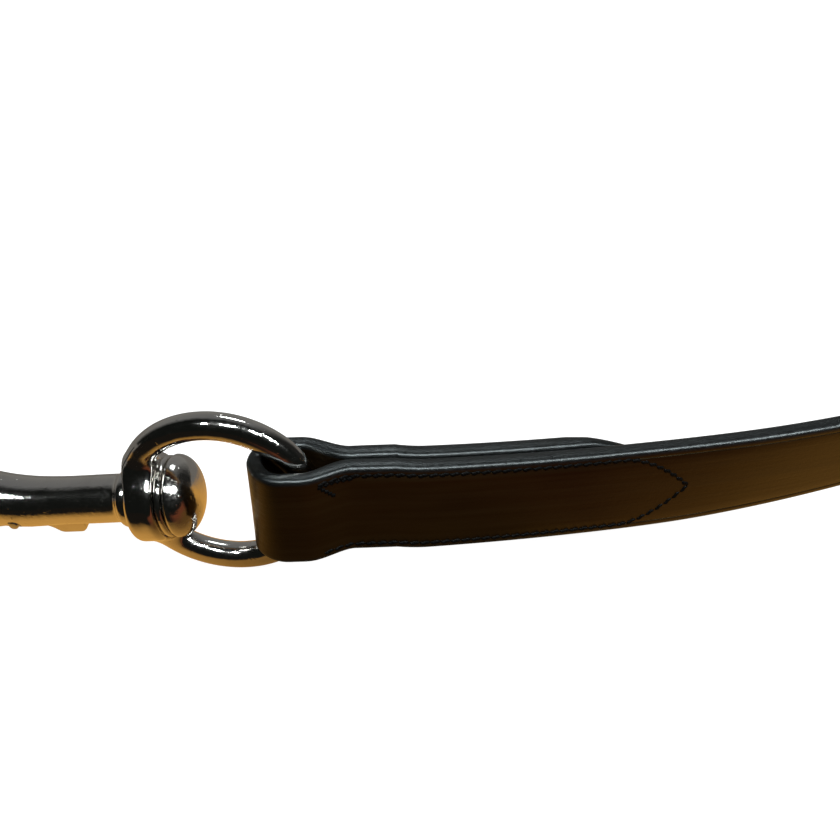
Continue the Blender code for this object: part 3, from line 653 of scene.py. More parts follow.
class Strap:
    """Stations along a strap's middle line."""

    def __init__(self, width, thick):
        self.width = width
        self.thick = thick
        self.stations = []

    def add(self, point, lift, crease=0.0, lean=0.0, width=None, thick=None):
        """Adds a station; a narrower one is kept at the middle of the strap's full width."""
        width = self.width if width is None else width
        thick = self.thick if thick is None else thick
        self.stations.append((point, lift + (self.width - width) / 2, lean, width, thick, crease))

    def measure(self):
        """Lengths of the stations along the strap."""
        self.heads = np.array([station[0] for station in self.stations])
        self.lengths = run_lengths(self.heads)

    def frame(self, i):
        point, lift, lean, width, thick, crease = self.stations[i]
        before = self.heads[max(i - 1, 0)]
        after = self.heads[min(i + 1, len(self.heads) - 1)]
        heading = atan2(after[1] - before[1], after[0] - before[0])
        section = strap_section(width, thick, crease)
        return section, heading, *frame_at(point, heading, lift, lean, section)

    def surface(self, length, height, side):
        """Point of a face at a length along the strap, and the face's outward direction."""
        i = int(np.searchsorted(self.lengths, length).clip(1, len(self.lengths) - 1))
        share = (length - self.lengths[i - 1]) / (self.lengths[i] - self.lengths[i - 1])
        spots, normals = [], []
        for k in (i - 1, i):
            _, _, middle, out, up = self.frame(k)
            spots.append(middle + out * side * self.stations[k][4] / 2 + up * height)
            normals.append(out * side)
        return spots[0] + (spots[1] - spots[0]) * share, normals[0] + (normals[1] - normals[0]) * share

    def skin(self):
        """Rings of the skin and, for each point, its place along, across and through the strap."""
        self.rings, self.places, self.edges = [], [], []
        last = len(self.stations) - 1
        caps = [radians(angle) for angle in (8, 30, 50, 70)]
        for angle in caps:
            self.put(0, sin(angle) ** 0.6, -END_DOME * cos(angle))
        for i in range(last + 1):
            self.put(i, 1.0, 0.0)
        for angle in reversed(caps):
            self.put(last, sin(angle) ** 0.6, END_DOME * cos(angle))
        return self.rings, self.places, self.edges

    def put(self, i, shrink, push):
        """One ring; shrink and push round off the strap's ends."""
        section, heading, middle, out, up = self.frame(i)
        width, thick = self.stations[i][3:5]
        middle = middle + push * np.array([cos(heading), sin(heading), 0.0])
        narrow = max(1 - (1 - shrink) * thick / width, 0.1)
        self.rings.append(middle + section[:, :1] * shrink * out + section[:, 1:2] * narrow * up)
        self.places.append([(self.lengths[i] + push, v, u) for u, v, _ in section])
        at_end = 1.0 if shrink < 0.97 else 0.0
        self.edges.append([max(edge, at_end) for edge in section[:, 2]])


def leather_skin(name, rings, places, edges, material, body, replaced, closed=False):
    """Leather piece that also carries its place on the strap and its share of edge."""
    obj = add_mesh(name, loft([list(ring) for ring in rings], closed), material, body, replaced)
    place = obj.data.attributes.new("strap", "FLOAT_VECTOR", "POINT")
    place.data.foreach_set("vector", np.array(places, np.float32).ravel())
    edge = obj.data.attributes.new("edge", "FLOAT", "POINT")
    edge.data.foreach_set("value", np.array(edges, np.float32).ravel())
    return obj


def add_strap(strap, name, material, replaced):
    strap.measure()
    return leather_skin(name, *strap.skin(), material, "straps", replaced)


def cut(obj, skins):
    """Takes skins out of obj and applies the cut."""
    cutter = new_object("cutter", new_mesh("cutter", join_skins(skins)))
    modifier = obj.modifiers.new("cut", "BOOLEAN")
    modifier.operation = "DIFFERENCE"
    modifier.solver = "EXACT"
    modifier.object = cutter
    bpy.context.view_layer.update()
    shaped = bpy.data.meshes.new_from_object(obj.evaluated_get(bpy.context.evaluated_depsgraph_get()))
    obj.modifiers.clear()
    obj.data = shaped
    bpy.data.objects.remove(cutter)


def tail_width(s, end, width=MAIN_WIDTH, point=TAIL_POINT, arch=ARCH):
    """Width near a pointed end whose sides curve in like a pointed arch."""
    share = min(max((s - end + point) / point, 0.0), 1.0)
    return TAIL_TIP + (width - TAIL_TIP) * (1 - share ** arch)


MAIN = Route(JOIN, JOIN_HEADING, ROUTE)


def strap_middle(s, offset=0.0):
    """Point in the middle of the main strap's width."""
    return ORIGIN + Vector((*MAIN.at(s, offset), main_lift(s) + MAIN_WIDTH / 2))


def strap_place(s, offset=0.0, turn=0.0):
    """Matrix there, with X along the strap unless it is turned."""
    return Matrix.Translation(strap_middle(s, offset)) @ Matrix.Rotation(MAIN.angle(s) + turn, 4, "Z")


def snap_crease(s):
    """Depth of the two lines along the face: a seam's groove first, then the creasing iron's line."""
    seam = ramp(s, 50 * MM, 54 * MM, SEAM_DEPTH, 0.0)
    line = ramp(s, 47 * MM, 56 * MM, 0.0, CREASE_DEPTH)
    return seam + line * ramp(s, BILLET_END - TAIL_POINT - 4 * MM, BILLET_END - TAIL_POINT, 1.0, 0.0)


def loop_lean(point):
    """Lean of the loop round the eye; the back layer's own sense is the other way round."""
    start = MAIN.at(EYE_LOOP_START)
    heading = JOIN_HEADING + pi
    x, y = point[0] - start[0], point[1] - start[1]
    along = x * cos(heading) + y * sin(heading)
    across = y * cos(heading) - x * sin(heading)
    if across < 0:
        return ramp(along, 2 * MM, 14 * MM, EYE_LEAN, 0.0)
    return -ramp(across, 0.0, (MAIN_THICK + GAP) / 2, 0.0, EYE_LEAN)


def snap_strap(leather, thread):
    strap = Strap(MAIN_WIDTH, MAIN_THICK)
    for s in spaced(TAIL_LENGTH, 0.0, 0.9 * MM):
        thick = ramp_linear(s, *TAIL_SKIVE, MAIN_THICK, TAIL_THIN)
        width = tail_width(s, TAIL_LENGTH, MAIN_WIDTH, OVERLAP_POINT, OVERLAP_ARCH)
        point = MAIN.at(s, (thick + GAP) / 2)
        strap.add(point, main_lift(s), 0.0, -main_lean(s), width, thick)
    tail_last = len(strap.stations) - 1
    nose = loop_points(MAIN.at(EYE_LOOP_START), JOIN_HEADING + pi, EYE_LOOP, EYE_LOOP_GAP, MAIN_THICK,
                       EYE_LOOP_PARTS, EYE_LOOP_SHARE)
    for k, point in enumerate(nose):
        share = 1 - abs(2 * k / (len(nose) - 1) - 1)
        lift = main_lift(-LIFT_LEVEL * min(share * 1.4, 1.0))
        thick = ramp(share, 0.21, 0.43, MAIN_THICK, EYE_LOOP_THIN)
        crease = SEAM_DEPTH * ramp(share, 0.1, 0.3, 1.0, 0.0)
        strap.add(point, lift, crease, loop_lean(point), thick=thick)
    front_first = len(strap.stations)
    for s in spaced(0.0, BILLET_END, 1.2 * MM):
        point = MAIN.at(s, billet_offset(s))
        strap.add(point, main_lift(s), snap_crease(s), main_lean(s), tail_width(s, BILLET_END))
    obj = add_strap(strap, "snap_strap_leather", leather, "snap_strap")
    snap_stitching(strap, strap.lengths[tail_last], strap.lengths[front_first], thread)
    holes = []
    for s in BILLET_HOLES:
        near = strap_middle(s, billet_offset(s) - 4.2 * MM)
        holes.append(rounded_rod(near, strap_middle(s, billet_offset(s) + 4.2 * MM), 1.9 * MM))
    offset = BAR_OFFSET - 2.75 * MM
    near = strap_middle(BUCKLE_AT + 4 * MM, offset)
    tongue_way = rounded_rod(near, strap_middle(BUCKLE_AT + BUCKLE_LONG - 3 * MM, offset), 2.7 * MM)
    cut(obj, holes + [tongue_way])


def body_strap(leather, thread):
    strap = Strap(MAIN_WIDTH, MAIN_THICK)
    bar = BUCKLE_AT + BUCKLE_LONG
    meet = bar + BODY_LOOP
    for s in spaced(BODY_FOLD_END, meet + 4 * MM, 1.2 * MM):
        strap.add(MAIN.at(s, MAIN_THICK + GAP), main_lift(s), width=tail_width(s, BODY_FOLD_END))
    nose = loop_points(MAIN.at(meet, BAR_OFFSET), MAIN.angle(meet) + pi, BODY_LOOP,
                       BUCKLE_BAR + 0.5 * MM, MAIN_THICK)
    for point in nose:
        strap.add(point, main_lift(bar))
    front_first = len(strap.stations)
    for s in spaced(meet + 4 * MM, BODY_END, 1.2 * MM):
        crease = ramp(s, BODY_FOLD_END - 4 * MM, BODY_FOLD_END + 4 * MM, 0.35, 1.0) * CREASE_DEPTH
        strap.add(MAIN.at(s), main_lift(s), crease)
    obj = add_strap(strap, "body_strap_leather", leather, "body_strap")
    body_stitching(strap, strap.lengths[front_first] - meet - 4 * MM, thread)
    place = strap_place(bar, BAR_OFFSET)
    corners = [(x, y, z) for x in (-9 * MM, 6 * MM) for y in (-8 * MM, 8 * MM) for z in (-2.2 * MM, 2.2 * MM)]
    slot = ([place @ Vector(c) for c in corners],
            [(0, 1, 3, 2), (4, 6, 7, 5), (0, 4, 5, 1), (2, 3, 7, 6), (0, 2, 6, 4), (1, 5, 7, 3)])
    cut(obj, [slot])


def fork_strap(side, leather, thread):
    sign = 1 if side == "left" else -1
    start = MAIN.at(CROTCH_AT, sign * (MAIN_THICK / 2 + GAP + FORK_THICK / 2))
    own = Route(start, MAIN.angle(CROTCH_AT), FORK_ROUTES[side])
    length = own.length
    strap = Strap(FORK_WIDTH, FORK_THICK)
    for s in spaced(0.0, length - 6 * MM, 1.3 * MM):
        crease = ramp(s, 38 * MM, 46 * MM, 0.35, 1.0) * CREASE_DEPTH
        crease *= ramp(s, length - FORK_TAIL - 4 * MM, length - FORK_TAIL + 4 * MM, 1.0, 0.35)
        strap.add(own.at(s), fork_lift(s, length), crease)
    end = own.at(length, (FORK_THICK + GAP) / 2)
    for point in loop_points(end, own.angle(length), FORK_LOOP, RING_WIRE / 2 + 1.2 * MM, FORK_THICK):
        strap.add(point, fork_lift(length, length))
    tail_first = len(strap.stations)
    for s in spaced(length - 6 * MM, length - FORK_TAIL, 0.9 * MM):
        width = tail_width(length - s, FORK_TAIL, FORK_WIDTH, FORK_POINT)
        strap.add(own.at(s, FORK_THICK + GAP), fork_lift(s, length), width=width)
    add_strap(strap, "fork_leather_" + side, leather, "fork_strap_" + side)
    fork_stitching(side, sign, strap, strap.lengths[tail_first] - 6 * MM, length, thread)


def keeper(name, s, body, leather):
    """Leather band round the three layers behind the buckle."""
    wall = 1.8 * MM
    half_deep = 1.5 * MAIN_THICK + 2 * GAP
    path = rounded_frame(-half_deep, half_deep, MAIN_WIDTH / 2 + GAP, 0.9 * MM, 8, wall / 2)
    matrix = strap_place(s)
    section = strap_section(9 * MM, wall, 0.1 * MM)
    rings, places, edges = [], [], []
    run = 0.0
    for i, (y, z) in enumerate(path):
        y0, z0 = path[i - 1]
        y1, z1 = path[(i + 1) % len(path)]
        run += hypot(y - y0, z - z0)
        size = hypot(y1 - y0, z1 - z0)
        ny, nz = (z1 - z0) / size, -(y1 - y0) / size
        rings.append([matrix @ Vector((v, y + u * ny, z + u * nz)) for u, v, _ in section])
        places.append([(run, v, u) for u, v, _ in section])
        edges.append([e for _, _, e in section])
    leather_skin(name + "_leather", rings, places, edges, leather, body, name, closed=True)


# ---- stitching

def stitch_form():
    """One twisted stitch along X, its ends dipping down: points and faces for a unit length."""
    rings = []
    stations, sides = 11, 10
    for i in range(stations):
        t = i / (stations - 1)
        x = t - 0.5
        swell = (1 - abs(2 * t - 1) ** 3) ** 0.5 * 0.85 + 0.15
        dip = -0.34 * abs(2 * t - 1) ** 2.6
        ring = []
        for k in range(sides):
            angle = 2 * pi * k / sides
            twist = 1 + 0.16 * cos(2 * angle - 4 * pi * t)
            radius = 0.5 * swell * twist
            ring.append((x, radius * cos(angle), dip + radius * sin(angle)))
        rings.append(ring)
    verts, faces = loft(rings)
    return np.array(verts), faces


STITCH = stitch_form()


def add_stitches(name, places, thread):
    """places holds (point, direction, normal, length) of each stitch."""
    form, form_faces = STITCH
    slant = radians(STITCH_SLANT)
    skins = []
    for point, direction, normal, length in places:
        normal = normal / np.linalg.norm(normal)
        along = direction - normal * (direction @ normal)
        along = along / np.linalg.norm(along)
        along = along * cos(slant) + np.cross(normal, along) * sin(slant)
        side = np.cross(normal, along)
        local = form[:, 1:2] * THREAD * side + form[:, 2:3] * THREAD * normal
        skins.append((point + form[:, :1] * length * along + local, form_faces))
    add_mesh(name, join_skins(skins), thread, "straps")


def stitch_run(strap, side, line, pitch=STITCH_PITCH, size=STITCH_LENGTH):
    """Stitches along a line of (length, height) pairs on a strap's face."""
    points = [strap.surface(length, height, side) for length, height in line]
    normals = np.array([normal for _, normal in points])
    run = np.array([point for point, _ in points]) - normals * STITCH_SINK
    lengths = run_lengths(run)
    count = max(int(round(lengths[-1] / pitch)), 1)

    def between(values, at):
        return np.array([np.interp(at, lengths, values[:, i]) for i in range(3)])

    stitches = []
    for k in range(count):
        at = lengths[-1] * (k + 0.5) / count
        direction = between(run, at + 0.2 * MM) - between(run, at - 0.2 * MM)
        stitches.append((between(run, at), direction, between(normals, at), size))
    return stitches


def arch_seam(strap, at_zero, direction, start, shoulder, tip, height):
    """Stitches to a pointed end and back; their lengths s count from at_zero along the strap."""
    upper = [(s, height) for s in spaced(start, shoulder, 1 * MM)]
    for k in range(1, 13):
        share = k / 12
        upper.append((shoulder + (tip - shoulder) * share, height * (1 - share ** ARCH)))
    stitches = []
    for line in (upper, [(s, -h) for s, h in reversed(upper)]):
        stitches += stitch_run(strap, -1, [(at_zero + direction * s, h) for s, h in line])
    return stitches


def snap_stitching(strap, tail_zero, front_zero, thread):
    """Seam behind the eye, which starts on the loop with a few crowded back stitches."""
    height = MAIN_WIDTH / 2 - CREASE_INSET
    start = front_zero - SEAM_START
    shares = (0.0, 0.5, 1.0)
    places = arch_seam(strap, front_zero, 1, -SEAM_START, 50 * MM, 66 * MM, height)
    branch = [(start + 3.4 * MM * t, height - 0.5 * MM - 3.8 * MM * t) for t in shares]
    places += stitch_run(strap, -1, branch, 1.0 * MM, 1.3 * MM)
    double = [(start + 8 * MM * t, height - 0.6 * MM) for t in shares]
    places += stitch_run(strap, -1, double, 1.3 * MM, 1.5 * MM)
    add_stitches("snap_strap_stitches_front", places, thread)
    places = arch_seam(strap, tail_zero, -1, -6 * MM, 43 * MM, 65 * MM, height)
    add_stitches("snap_strap_stitches_back", places, thread)


def body_stitching(strap, front_zero, thread):
    start = BUCKLE_AT + BUCKLE_LONG + BODY_LOOP + 5 * MM
    span = (start, BODY_FOLD_END - 14 * MM, BODY_FOLD_END - 3 * MM, MAIN_WIDTH / 2 - CREASE_INSET)
    add_stitches("body_strap_stitches_back", arch_seam(strap, BODY_FOLD_END, -1, *span), thread)
    add_stitches("body_strap_stitches_front", arch_seam(strap, front_zero, 1, *span), thread)


def fork_stitching(side, outer, strap, tail_zero, length, thread):
    height = FORK_WIDTH / 2 - 0.9 * CREASE_INSET
    places = []
    for level in (height, -height):
        places += stitch_run(strap, outer, [(s, level) for s in spaced(3 * MM, 38 * MM, 1 * MM)])
    add_stitches("fork_crotch_stitches_" + side, places, thread)
    span = (2 * MM, FORK_TAIL - FORK_POINT, FORK_TAIL - 2.5 * MM, height)
    places = arch_seam(strap, tail_zero, 1, *span) + arch_seam(strap, length, -1, *span)
    add_stitches("fork_tail_stitches_" + side, places, thread)


# ---- snap and eye

def swivel_eye(nickel):
    axis = (cos(SNAP_PITCH), 0.0, sin(SNAP_PITCH))

    def field(p):
        ring = np.hypot(np.hypot(p[:, 0], p[:, 2]) - EYE_RADIUS, p[:, 1]) - EYE_WIRE / 2
        base = rod_field(p, axis, EYE_BASE_RADIUS, -EYE_BASE_FAR, -EYE_BASE_NEAR, 1.6 * MM)
        shape = smooth_union(ring, base, 4.0 * MM)
        shape = smooth_cut(shape, p @ np.array(axis) + EYE_BASE_FAR, 0.5 * MM)
        bore = rod_field(p, axis, SHANK_RADIUS + GAP, -30 * MM, -5 * MM)
        return smooth_cut(shape, bore, 0.3 * MM)

    reach = EYE_RADIUS + EYE_WIRE / 2 + 1 * MM
    side = EYE_BASE_RADIUS + 1 * MM
    add_field("swivel_eye_cast", field, (-reach, -side, -reach), (reach, side, reach),
              Matrix.Translation(EYE_CENTRE), nickel, "eye", "swivel_eye")


def swivel_rivet(nickel):
    top = -(EYE_BASE_NEAR - GAP - WASHER_THICK - GAP)
    profile = [(-27 * MM, SHANK_RADIUS * 0.7), (-26.7 * MM, SHANK_RADIUS), (top, SHANK_RADIUS),
               (top, DOME_RADIUS - 0.9 * MM), (top + 0.15 * MM, DOME_RADIUS - 0.35 * MM)]
    for k in range(31):
        angle = radians(88.5 * k / 30)
        x = top + 0.7 * MM + (DOME_HEIGHT - 0.7 * MM) * sin(angle)
        profile.append((x, DOME_RADIUS * cos(angle)))
    skin = turned(profile, 96, SNAP_PLACE)
    add_mesh("swivel_rivet_cast", skin, nickel, "snap", "swivel_rivet", 50.0)


def swivel_washer(nickel):
    far = -(EYE_BASE_NEAR - GAP)
    near = far + WASHER_THICK
    bore = SHANK_RADIUS + GAP
    profile = [(far, bore), (far, WASHER_RADIUS - 0.4 * MM), (far + 0.15 * MM, WASHER_RADIUS - 0.1 * MM),
               (far + 0.4 * MM, WASHER_RADIUS), (near - 0.4 * MM, WASHER_RADIUS),
               (near - 0.15 * MM, WASHER_RADIUS - 0.1 * MM), (near, WASHER_RADIUS - 0.4 * MM), (near, bore)]
    skin = turned(profile, 96, SNAP_PLACE, closed=True)
    add_mesh("swivel_washer_turned", skin, nickel, "snap", "swivel_washer", 50.0)


def smooth_line(points, steps):
    """Catmull-Rom curve through points, steps pieces to each span."""
    points = [np.array(p, dtype=float) for p in points]
    ends = [2 * points[0] - points[1]] + points + [2 * points[-1] - points[-2]]
    line = []
    for i in range(1, len(ends) - 2):
        a, b, c, d = ends[i - 1: i + 3]
        for k in range(steps):
            t = k / steps
            line.append(0.5 * (2 * b + (c - a) * t + (2 * a - 5 * b + 4 * c - d) * t ** 2
                               + (3 * b - a - 3 * c + d) * t ** 3))
    line.append(points[-1])
    return np.array(line)


HOOK_BENDS = (
    (-18.9, 0.0, 5.1), (-24.5, 0.0, 5.2), (-36.0, 0.0, 5.2), (-45.0, 0.4, 5.6), (-52.5, 2.6, 5.7),
    (-60.0, 8.2, 5.1), (-67.0, 13.4, 4.5), (-76.0, 15.3, 4.1), (-84.6, 12.4, 3.9), (-90.0, 6.0, 3.8),
    (-90.6, -0.6, 3.6), (-86.8, -5.2, 3.3), (-81.4, -6.6, 2.9),
)


def swept_field(p, line):
    """Distance to a chain of round cones in the X-Z plane."""
    best = np.full(len(p), 1.0)
    flat = p[:, (0, 2)]
    for (x0, z0, r0), (x1, z1, r1) in zip(line[:-1], line[1:]):
        start = np.array((x0, z0))
        span = np.array((x1 - x0, z1 - z0))
        t = np.clip(((flat - start) @ span) / (span @ span), 0.0, 1.0)
        near = flat - start - t[:, None] * span
        distance = np.sqrt((near ** 2).sum(1) + p[:, 1] ** 2) - (r0 + (r1 - r0) * t)
        best = np.minimum(best, distance)
    return best


def hook_body(nickel):
    line = smooth_line(HOOK_BENDS, 4) * MM
    half = SLOT_WIDTH / 2
    along, sideways = (1.0, 0.0, 0.0), (0.0, 1.0, 0.0)

    def field(p):
        bead = rod_field(p, along, 6.3 * MM, -21.5 * MM, -18.9 * MM, 1.0 * MM)
        shape = smooth_union(swept_field(p, line), bead, 1.3 * MM)
        shape = np.maximum(shape, p[:, 0] + 18.9 * MM)
        slot = box_field(p, (-59 * MM, -half, -12 * MM), (-30.5 * MM, half, SLOT_TOP), 0.4 * MM)
        shape = smooth_cut(shape, slot, 0.5 * MM)
        pin = rod_field(p, sideways, PIN_RADIUS + 0.2 * MM, -9 * MM, 9 * MM, 0.0, (PIN_AT[0], 0, PIN_AT[1]))
        shape = smooth_cut(shape, pin, 0.2 * MM)
        bore = rod_field(p, along, SHANK_RADIUS + GAP, -28 * MM, -10 * MM)
        return smooth_cut(shape, bore, 0.2 * MM)

    add_field("hook_body_cast", field, (-96 * MM, -8.8 * MM, -11.4 * MM), (-16 * MM, 8.8 * MM, 21 * MM),
              SNAP_PLACE, nickel, "snap", "hook_body")


def pin_rod(half_length, radius, count=24):
    """Rod along the trigger pin's axis."""
    ends = [PIN_PLACE @ Vector((0, y, 0)) for y in (-half_length, half_length)]
    return rounded_rod(*ends, radius, count)


def trigger_lever(nickel):
    outline = [(6.5, 1.2), (10.5, 0.2), (13.2, -2.2), (13.4, -5.6), (12.4, -6.6), (7.4, -6.6),
               (5.6, -4.8), (2.0, -3.4), (-12.0, -4.6), (-24.0, -6.4), (-33.6, -7.3), (-34.4, -5.0),
               (-33.9, -2.6), (-24.0, -1.6), (-12.0, 0.6), (-4.0, 2.2), (2.0, 2.4)]
    corners = np.array(outline)
    rounded = []
    for i in range(len(corners)):
        before, here, after = corners[i - 1], corners[i], corners[(i + 1) % len(corners)]
        cut_by = min(0.42 * np.linalg.norm(here - before), 0.42 * np.linalg.norm(after - here), 2.6)
        first = here + (before - here) / np.linalg.norm(before - here) * cut_by
        last = here + (after - here) / np.linalg.norm(after - here) * cut_by
        for t in np.linspace(0, 1, 7):
            rounded.append((1 - t) ** 2 * first + 2 * t * (1 - t) * here + t ** 2 * last)
    rounded = np.array(rounded) * MM
    half = LEVER_THICK / 2
    rim = 0.45 * MM
    tangent = np.roll(rounded, -1, axis=0) - np.roll(rounded, 1, axis=0)
    inward = np.stack([tangent[:, 1], -tangent[:, 0]], 1)
    inward /= np.linalg.norm(inward, axis=1)[:, None]
    rings = []
    for angle in np.radians([-90, -60, -30, 0, 0, 30, 60, 90]):
        y = (half - rim + rim * abs(sin(angle))) * (1 if len(rings) >= 4 else -1)
        shrink = rim * (1 - cos(angle))
        rings.append([PIN_PLACE @ Vector((x, y, z)) for x, z in rounded + inward * shrink])
    lever = add_mesh("trigger_lever_cast", loft(rings), nickel, "trigger", "trigger_lever", 40.0)
    cut(lever, [pin_rod(5 * MM, PIN_RADIUS + 0.15 * MM)])


def trigger_fittings(steel):
    """Pin with rounded ends, and the torsion spring beside the lever."""
    pin = pin_rod(5.3 * MM, PIN_RADIUS, 40)
    add_mesh("trigger_pin_drawn", pin, steel, "snap", "trigger_pin", 40.0)
    start = LEVER_THICK / 2 + 0.3 * MM
    radius, rise = 1.95 * MM, 0.75 * MM
    points = [(6.0 * MM, start, 1.4 * MM), (3.6 * MM, start, 1.62 * MM)]
    count = 64
    for k in range(count + 1):
        angle = radians(60) - 2 * pi * k / count
        points.append((radius * cos(angle), start + rise * k / count, radius * sin(angle)))
    points += [(-2.4 * MM, start + rise, radius), (-6.0 * MM, start + rise, 2.3 * MM)]
    wire = tube([PIN_PLACE @ Vector(p) for p in points], [0.3 * MM] * len(points), (0, 1, 0), 12)
    add_mesh("trigger_spring_wire", wire, steel, "snap", "trigger_spring")


# ---- buckle, rivet and fork rings

def fork_rings(nickel):
    """Upright rings of round wire."""
    for side in ("left", "right"):
        low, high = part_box("ring_" + side)
        centre = (low + high) / 2
        points = [centre + RING_RADIUS * Vector((c, 0.0, s)) for c, s in circle(144)]
        skin = tube(points, [RING_WIRE / 2] * len(points), (0, 1, 0), 36, closed=True)
        add_mesh("rein_ring_" + side, skin, nickel, side + "_ring", "ring_" + side)


def buckle_frame(nickel):
    half_tall = MAIN_WIDTH / 2 + 1.6 * MM + BUCKLE_BAR
    matrix = strap_place(BUCKLE_AT, BAR_OFFSET)
    line = rounded_frame(0.0, BUCKLE_LONG, half_tall, 4.5 * MM, 12)
    points = [matrix @ Vector((x, 0.0, z)) for x, z in line]
    side = matrix.to_3x3() @ Vector((0, 1, 0))
    skin = tube(points, [BUCKLE_BAR] * len(points), side, 32, closed=True)
    add_mesh("buckle_frame_cast", skin, nickel, "straps", "buckle_frame")


def buckle_tongue(nickel):
    wire = 1.1 * MM
    curl = BUCKLE_BAR + GAP + wire
    matrix = strap_place(BUCKLE_AT, BAR_OFFSET) @ Matrix.Translation((BUCKLE_LONG, 0, 0))
    knots = []
    for k in range(11):
        angle = radians(-200 + 28 * (10 - k))
        knots.append((curl * cos(angle), curl * sin(angle), 0.0))
    knots += [(-9 * MM, -2.6 * MM, 0.0), (-20 * MM, -3.0 * MM, 0.0),
              (-BUCKLE_LONG + 1 * MM, -curl - 0.1 * MM, 0.0), (-BUCKLE_LONG - 3.2 * MM, -curl, 0.0)]
    line = [matrix @ Vector(p) for p in smooth_line(knots, 5)]
    radii = [wire] * len(line)
    for k, share in enumerate((0.45, 0.75, 0.92)):
        radii[k] = radii[-1 - k] = wire * share
    skin = tube(line, radii, (0, 0, 1), 24)
    add_mesh("buckle_tongue_cast", skin, nickel, "tongue", "buckle_tongue")


def crotch_fixings(brass):
    """Rivet through the fork and body straps, and the burr that it is closed over."""
    reach = MAIN_THICK / 2 + GAP + FORK_THICK
    under = reach + GAP
    matrix = strap_place(BODY_END - 10 * MM, 0.0, -pi / 2)
    rivet = [(-reach - 2.0 * MM, 1.0 * MM), (-reach - 1.9 * MM, 1.25 * MM), (-reach - 1.4 * MM, 1.5 * MM),
             (under, 1.5 * MM), (under, 4.5 * MM), (under + 0.2 * MM, 4.75 * MM)]
    for k in range(13):
        angle = radians(87 * k / 12)
        rivet.append((under + 0.5 * MM + 1.4 * MM * sin(angle), 4.8 * MM * cos(angle)))
    skin = turned(rivet, 48, matrix)
    add_mesh("crotch_rivet_turned", skin, brass, "straps", "crotch_rivet", 45.0)
    burr = [(-under, 1.8 * MM), (-under, 4.3 * MM), (-under - 0.25 * MM, 4.4 * MM),
            (-reach - 0.95 * MM, 4.2 * MM), (-reach - 1.2 * MM, 3.9 * MM), (-reach - 1.2 * MM, 1.8 * MM)]
    skin = turned(burr, 48, matrix, closed=True)
    add_mesh("crotch_burr_turned", skin, brass, "straps", "crotch_burr", 45.0)


# ---- floor, light and camera

def floor_material():
    """Pale to look at; for every other ray it glows as a painted tan table top with a painted shadow patch,
    painted shade in front and on the viewer's side, and grey beyond it.
    """
    material = bpy.data.materials.new("pale_floor")
    material.use_nodes = True
    n = Nodes(material.node_tree)
    n.tree.nodes.clear()
    at_eye = n.add("ShaderNodeMapping", Vector=n.place(), Location=(-ORIGIN.x, -ORIGIN.y, 0.0))
    split = n.add("ShaderNodeSeparateXYZ", Vector=at_eye.outputs[0])
    x, y = split.outputs["X"], split.outputs["Y"]
    # painted shadow: a dark brown ellipse on the glowing colour, where the straps' shadow would lie on the
    # table
    shade_x = n.math("DIVIDE", n.math("SUBTRACT", x, 0.045), 0.055)
    shade_y = n.math("DIVIDE", n.math("ADD", y, 0.018), 0.036)
    square = n.math("ADD", n.math("MULTIPLY", shade_x, shade_x), n.math("MULTIPLY", shade_y, shade_y))
    painted_bench_colour = n.mix_colour(n.stretch(square, 0.35, 1.5), (0.13, 0.065, 0.018), (0.74, 0.385, 0.088))
    # painted shade in front of the straps, its edge set further back towards the right, and near-black on the
    # viewer's side
    front_shade_shift = n.stretch(x, 0.060, 0.085, 0.0, 0.040)
    front = n.stretch(n.math("SUBTRACT", y, front_shade_shift), -0.044, -0.015)
    dark = (0.012, 0.010, 0.008)
    viewer = n.mix_colour(n.stretch(x, -0.005, 0.035), dark, (0.17, 0.05, 0.022))
    painted_bench_colour = n.mix_colour(front, n.mix_colour(n.stretch(y, -0.16, -0.10), dark, viewer), painted_bench_colour)
    behind = n.stretch(n.math("SUBTRACT", y, n.math("MULTIPLY", x, 0.35)), 0.018, 0.055)
    painted_bench_colour = n.mix_colour(behind, painted_bench_colour, (0.20, 0.19, 0.175))
    # this painted colour glows for every ray but the camera's: a painted reflection and bounce light of a lit
    # table, though the floor is no lamp
    painted_bench_glow = n.add("ShaderNodeEmission", Color=painted_bench_colour)
    seen = n.add("ShaderNodeBsdfDiffuse", Color=(0.25, 0.25, 0.25))
    glow = n.add("ShaderNodeEmission", Color=(1.0, 1.0, 1.0), Strength=0.97)
    pale = n.add("ShaderNodeAddShader")
    n.put(pale.inputs[0], seen.outputs[0])
    n.put(pale.inputs[1], glow.outputs[0])
    mix = n.add("ShaderNodeMixShader")
    camera_ray = n.add("ShaderNodeLightPath").outputs["Is Camera Ray"]
    for index, value in enumerate((camera_ray, painted_bench_glow.outputs[0], pale.outputs[0])):
        n.put(mix.inputs[index], value)
    n.add("ShaderNodeOutputMaterial", Surface=mix.outputs[0])
    return material


def add_floor():
    mesh = bpy.data.meshes.new("floor")
    corners = [(x * FLOOR_HALF, y * FLOOR_HALF, 0) for x, y in ((-1, -1), (1, -1), (1, 1), (-1, 1))]
    mesh.from_pydata(corners, [], [(0, 1, 2, 3)])
    mesh.materials.append(floor_material())
    new_object("floor", mesh)


def add_light(name, offset, aim_x, size, size_y, energy):
    """Lamp placed from the eye and aimed at the strap aim_x to the right of it."""
    light = bpy.data.lights.new(name, "AREA")
    light.shape = "ELLIPSE"
    light.size = size
    light.size_y = size_y
    light.energy = energy
    light.color = (0.91, 0.98, 1.0)
    obj = new_object(name, light)
    obj.location = EYE_CENTRE + Vector(offset)
    aim = EYE_CENTRE + Vector((aim_x, 0, 0))
    obj.rotation_euler = (aim - obj.location).to_track_quat("-Z", "Y").to_euler()


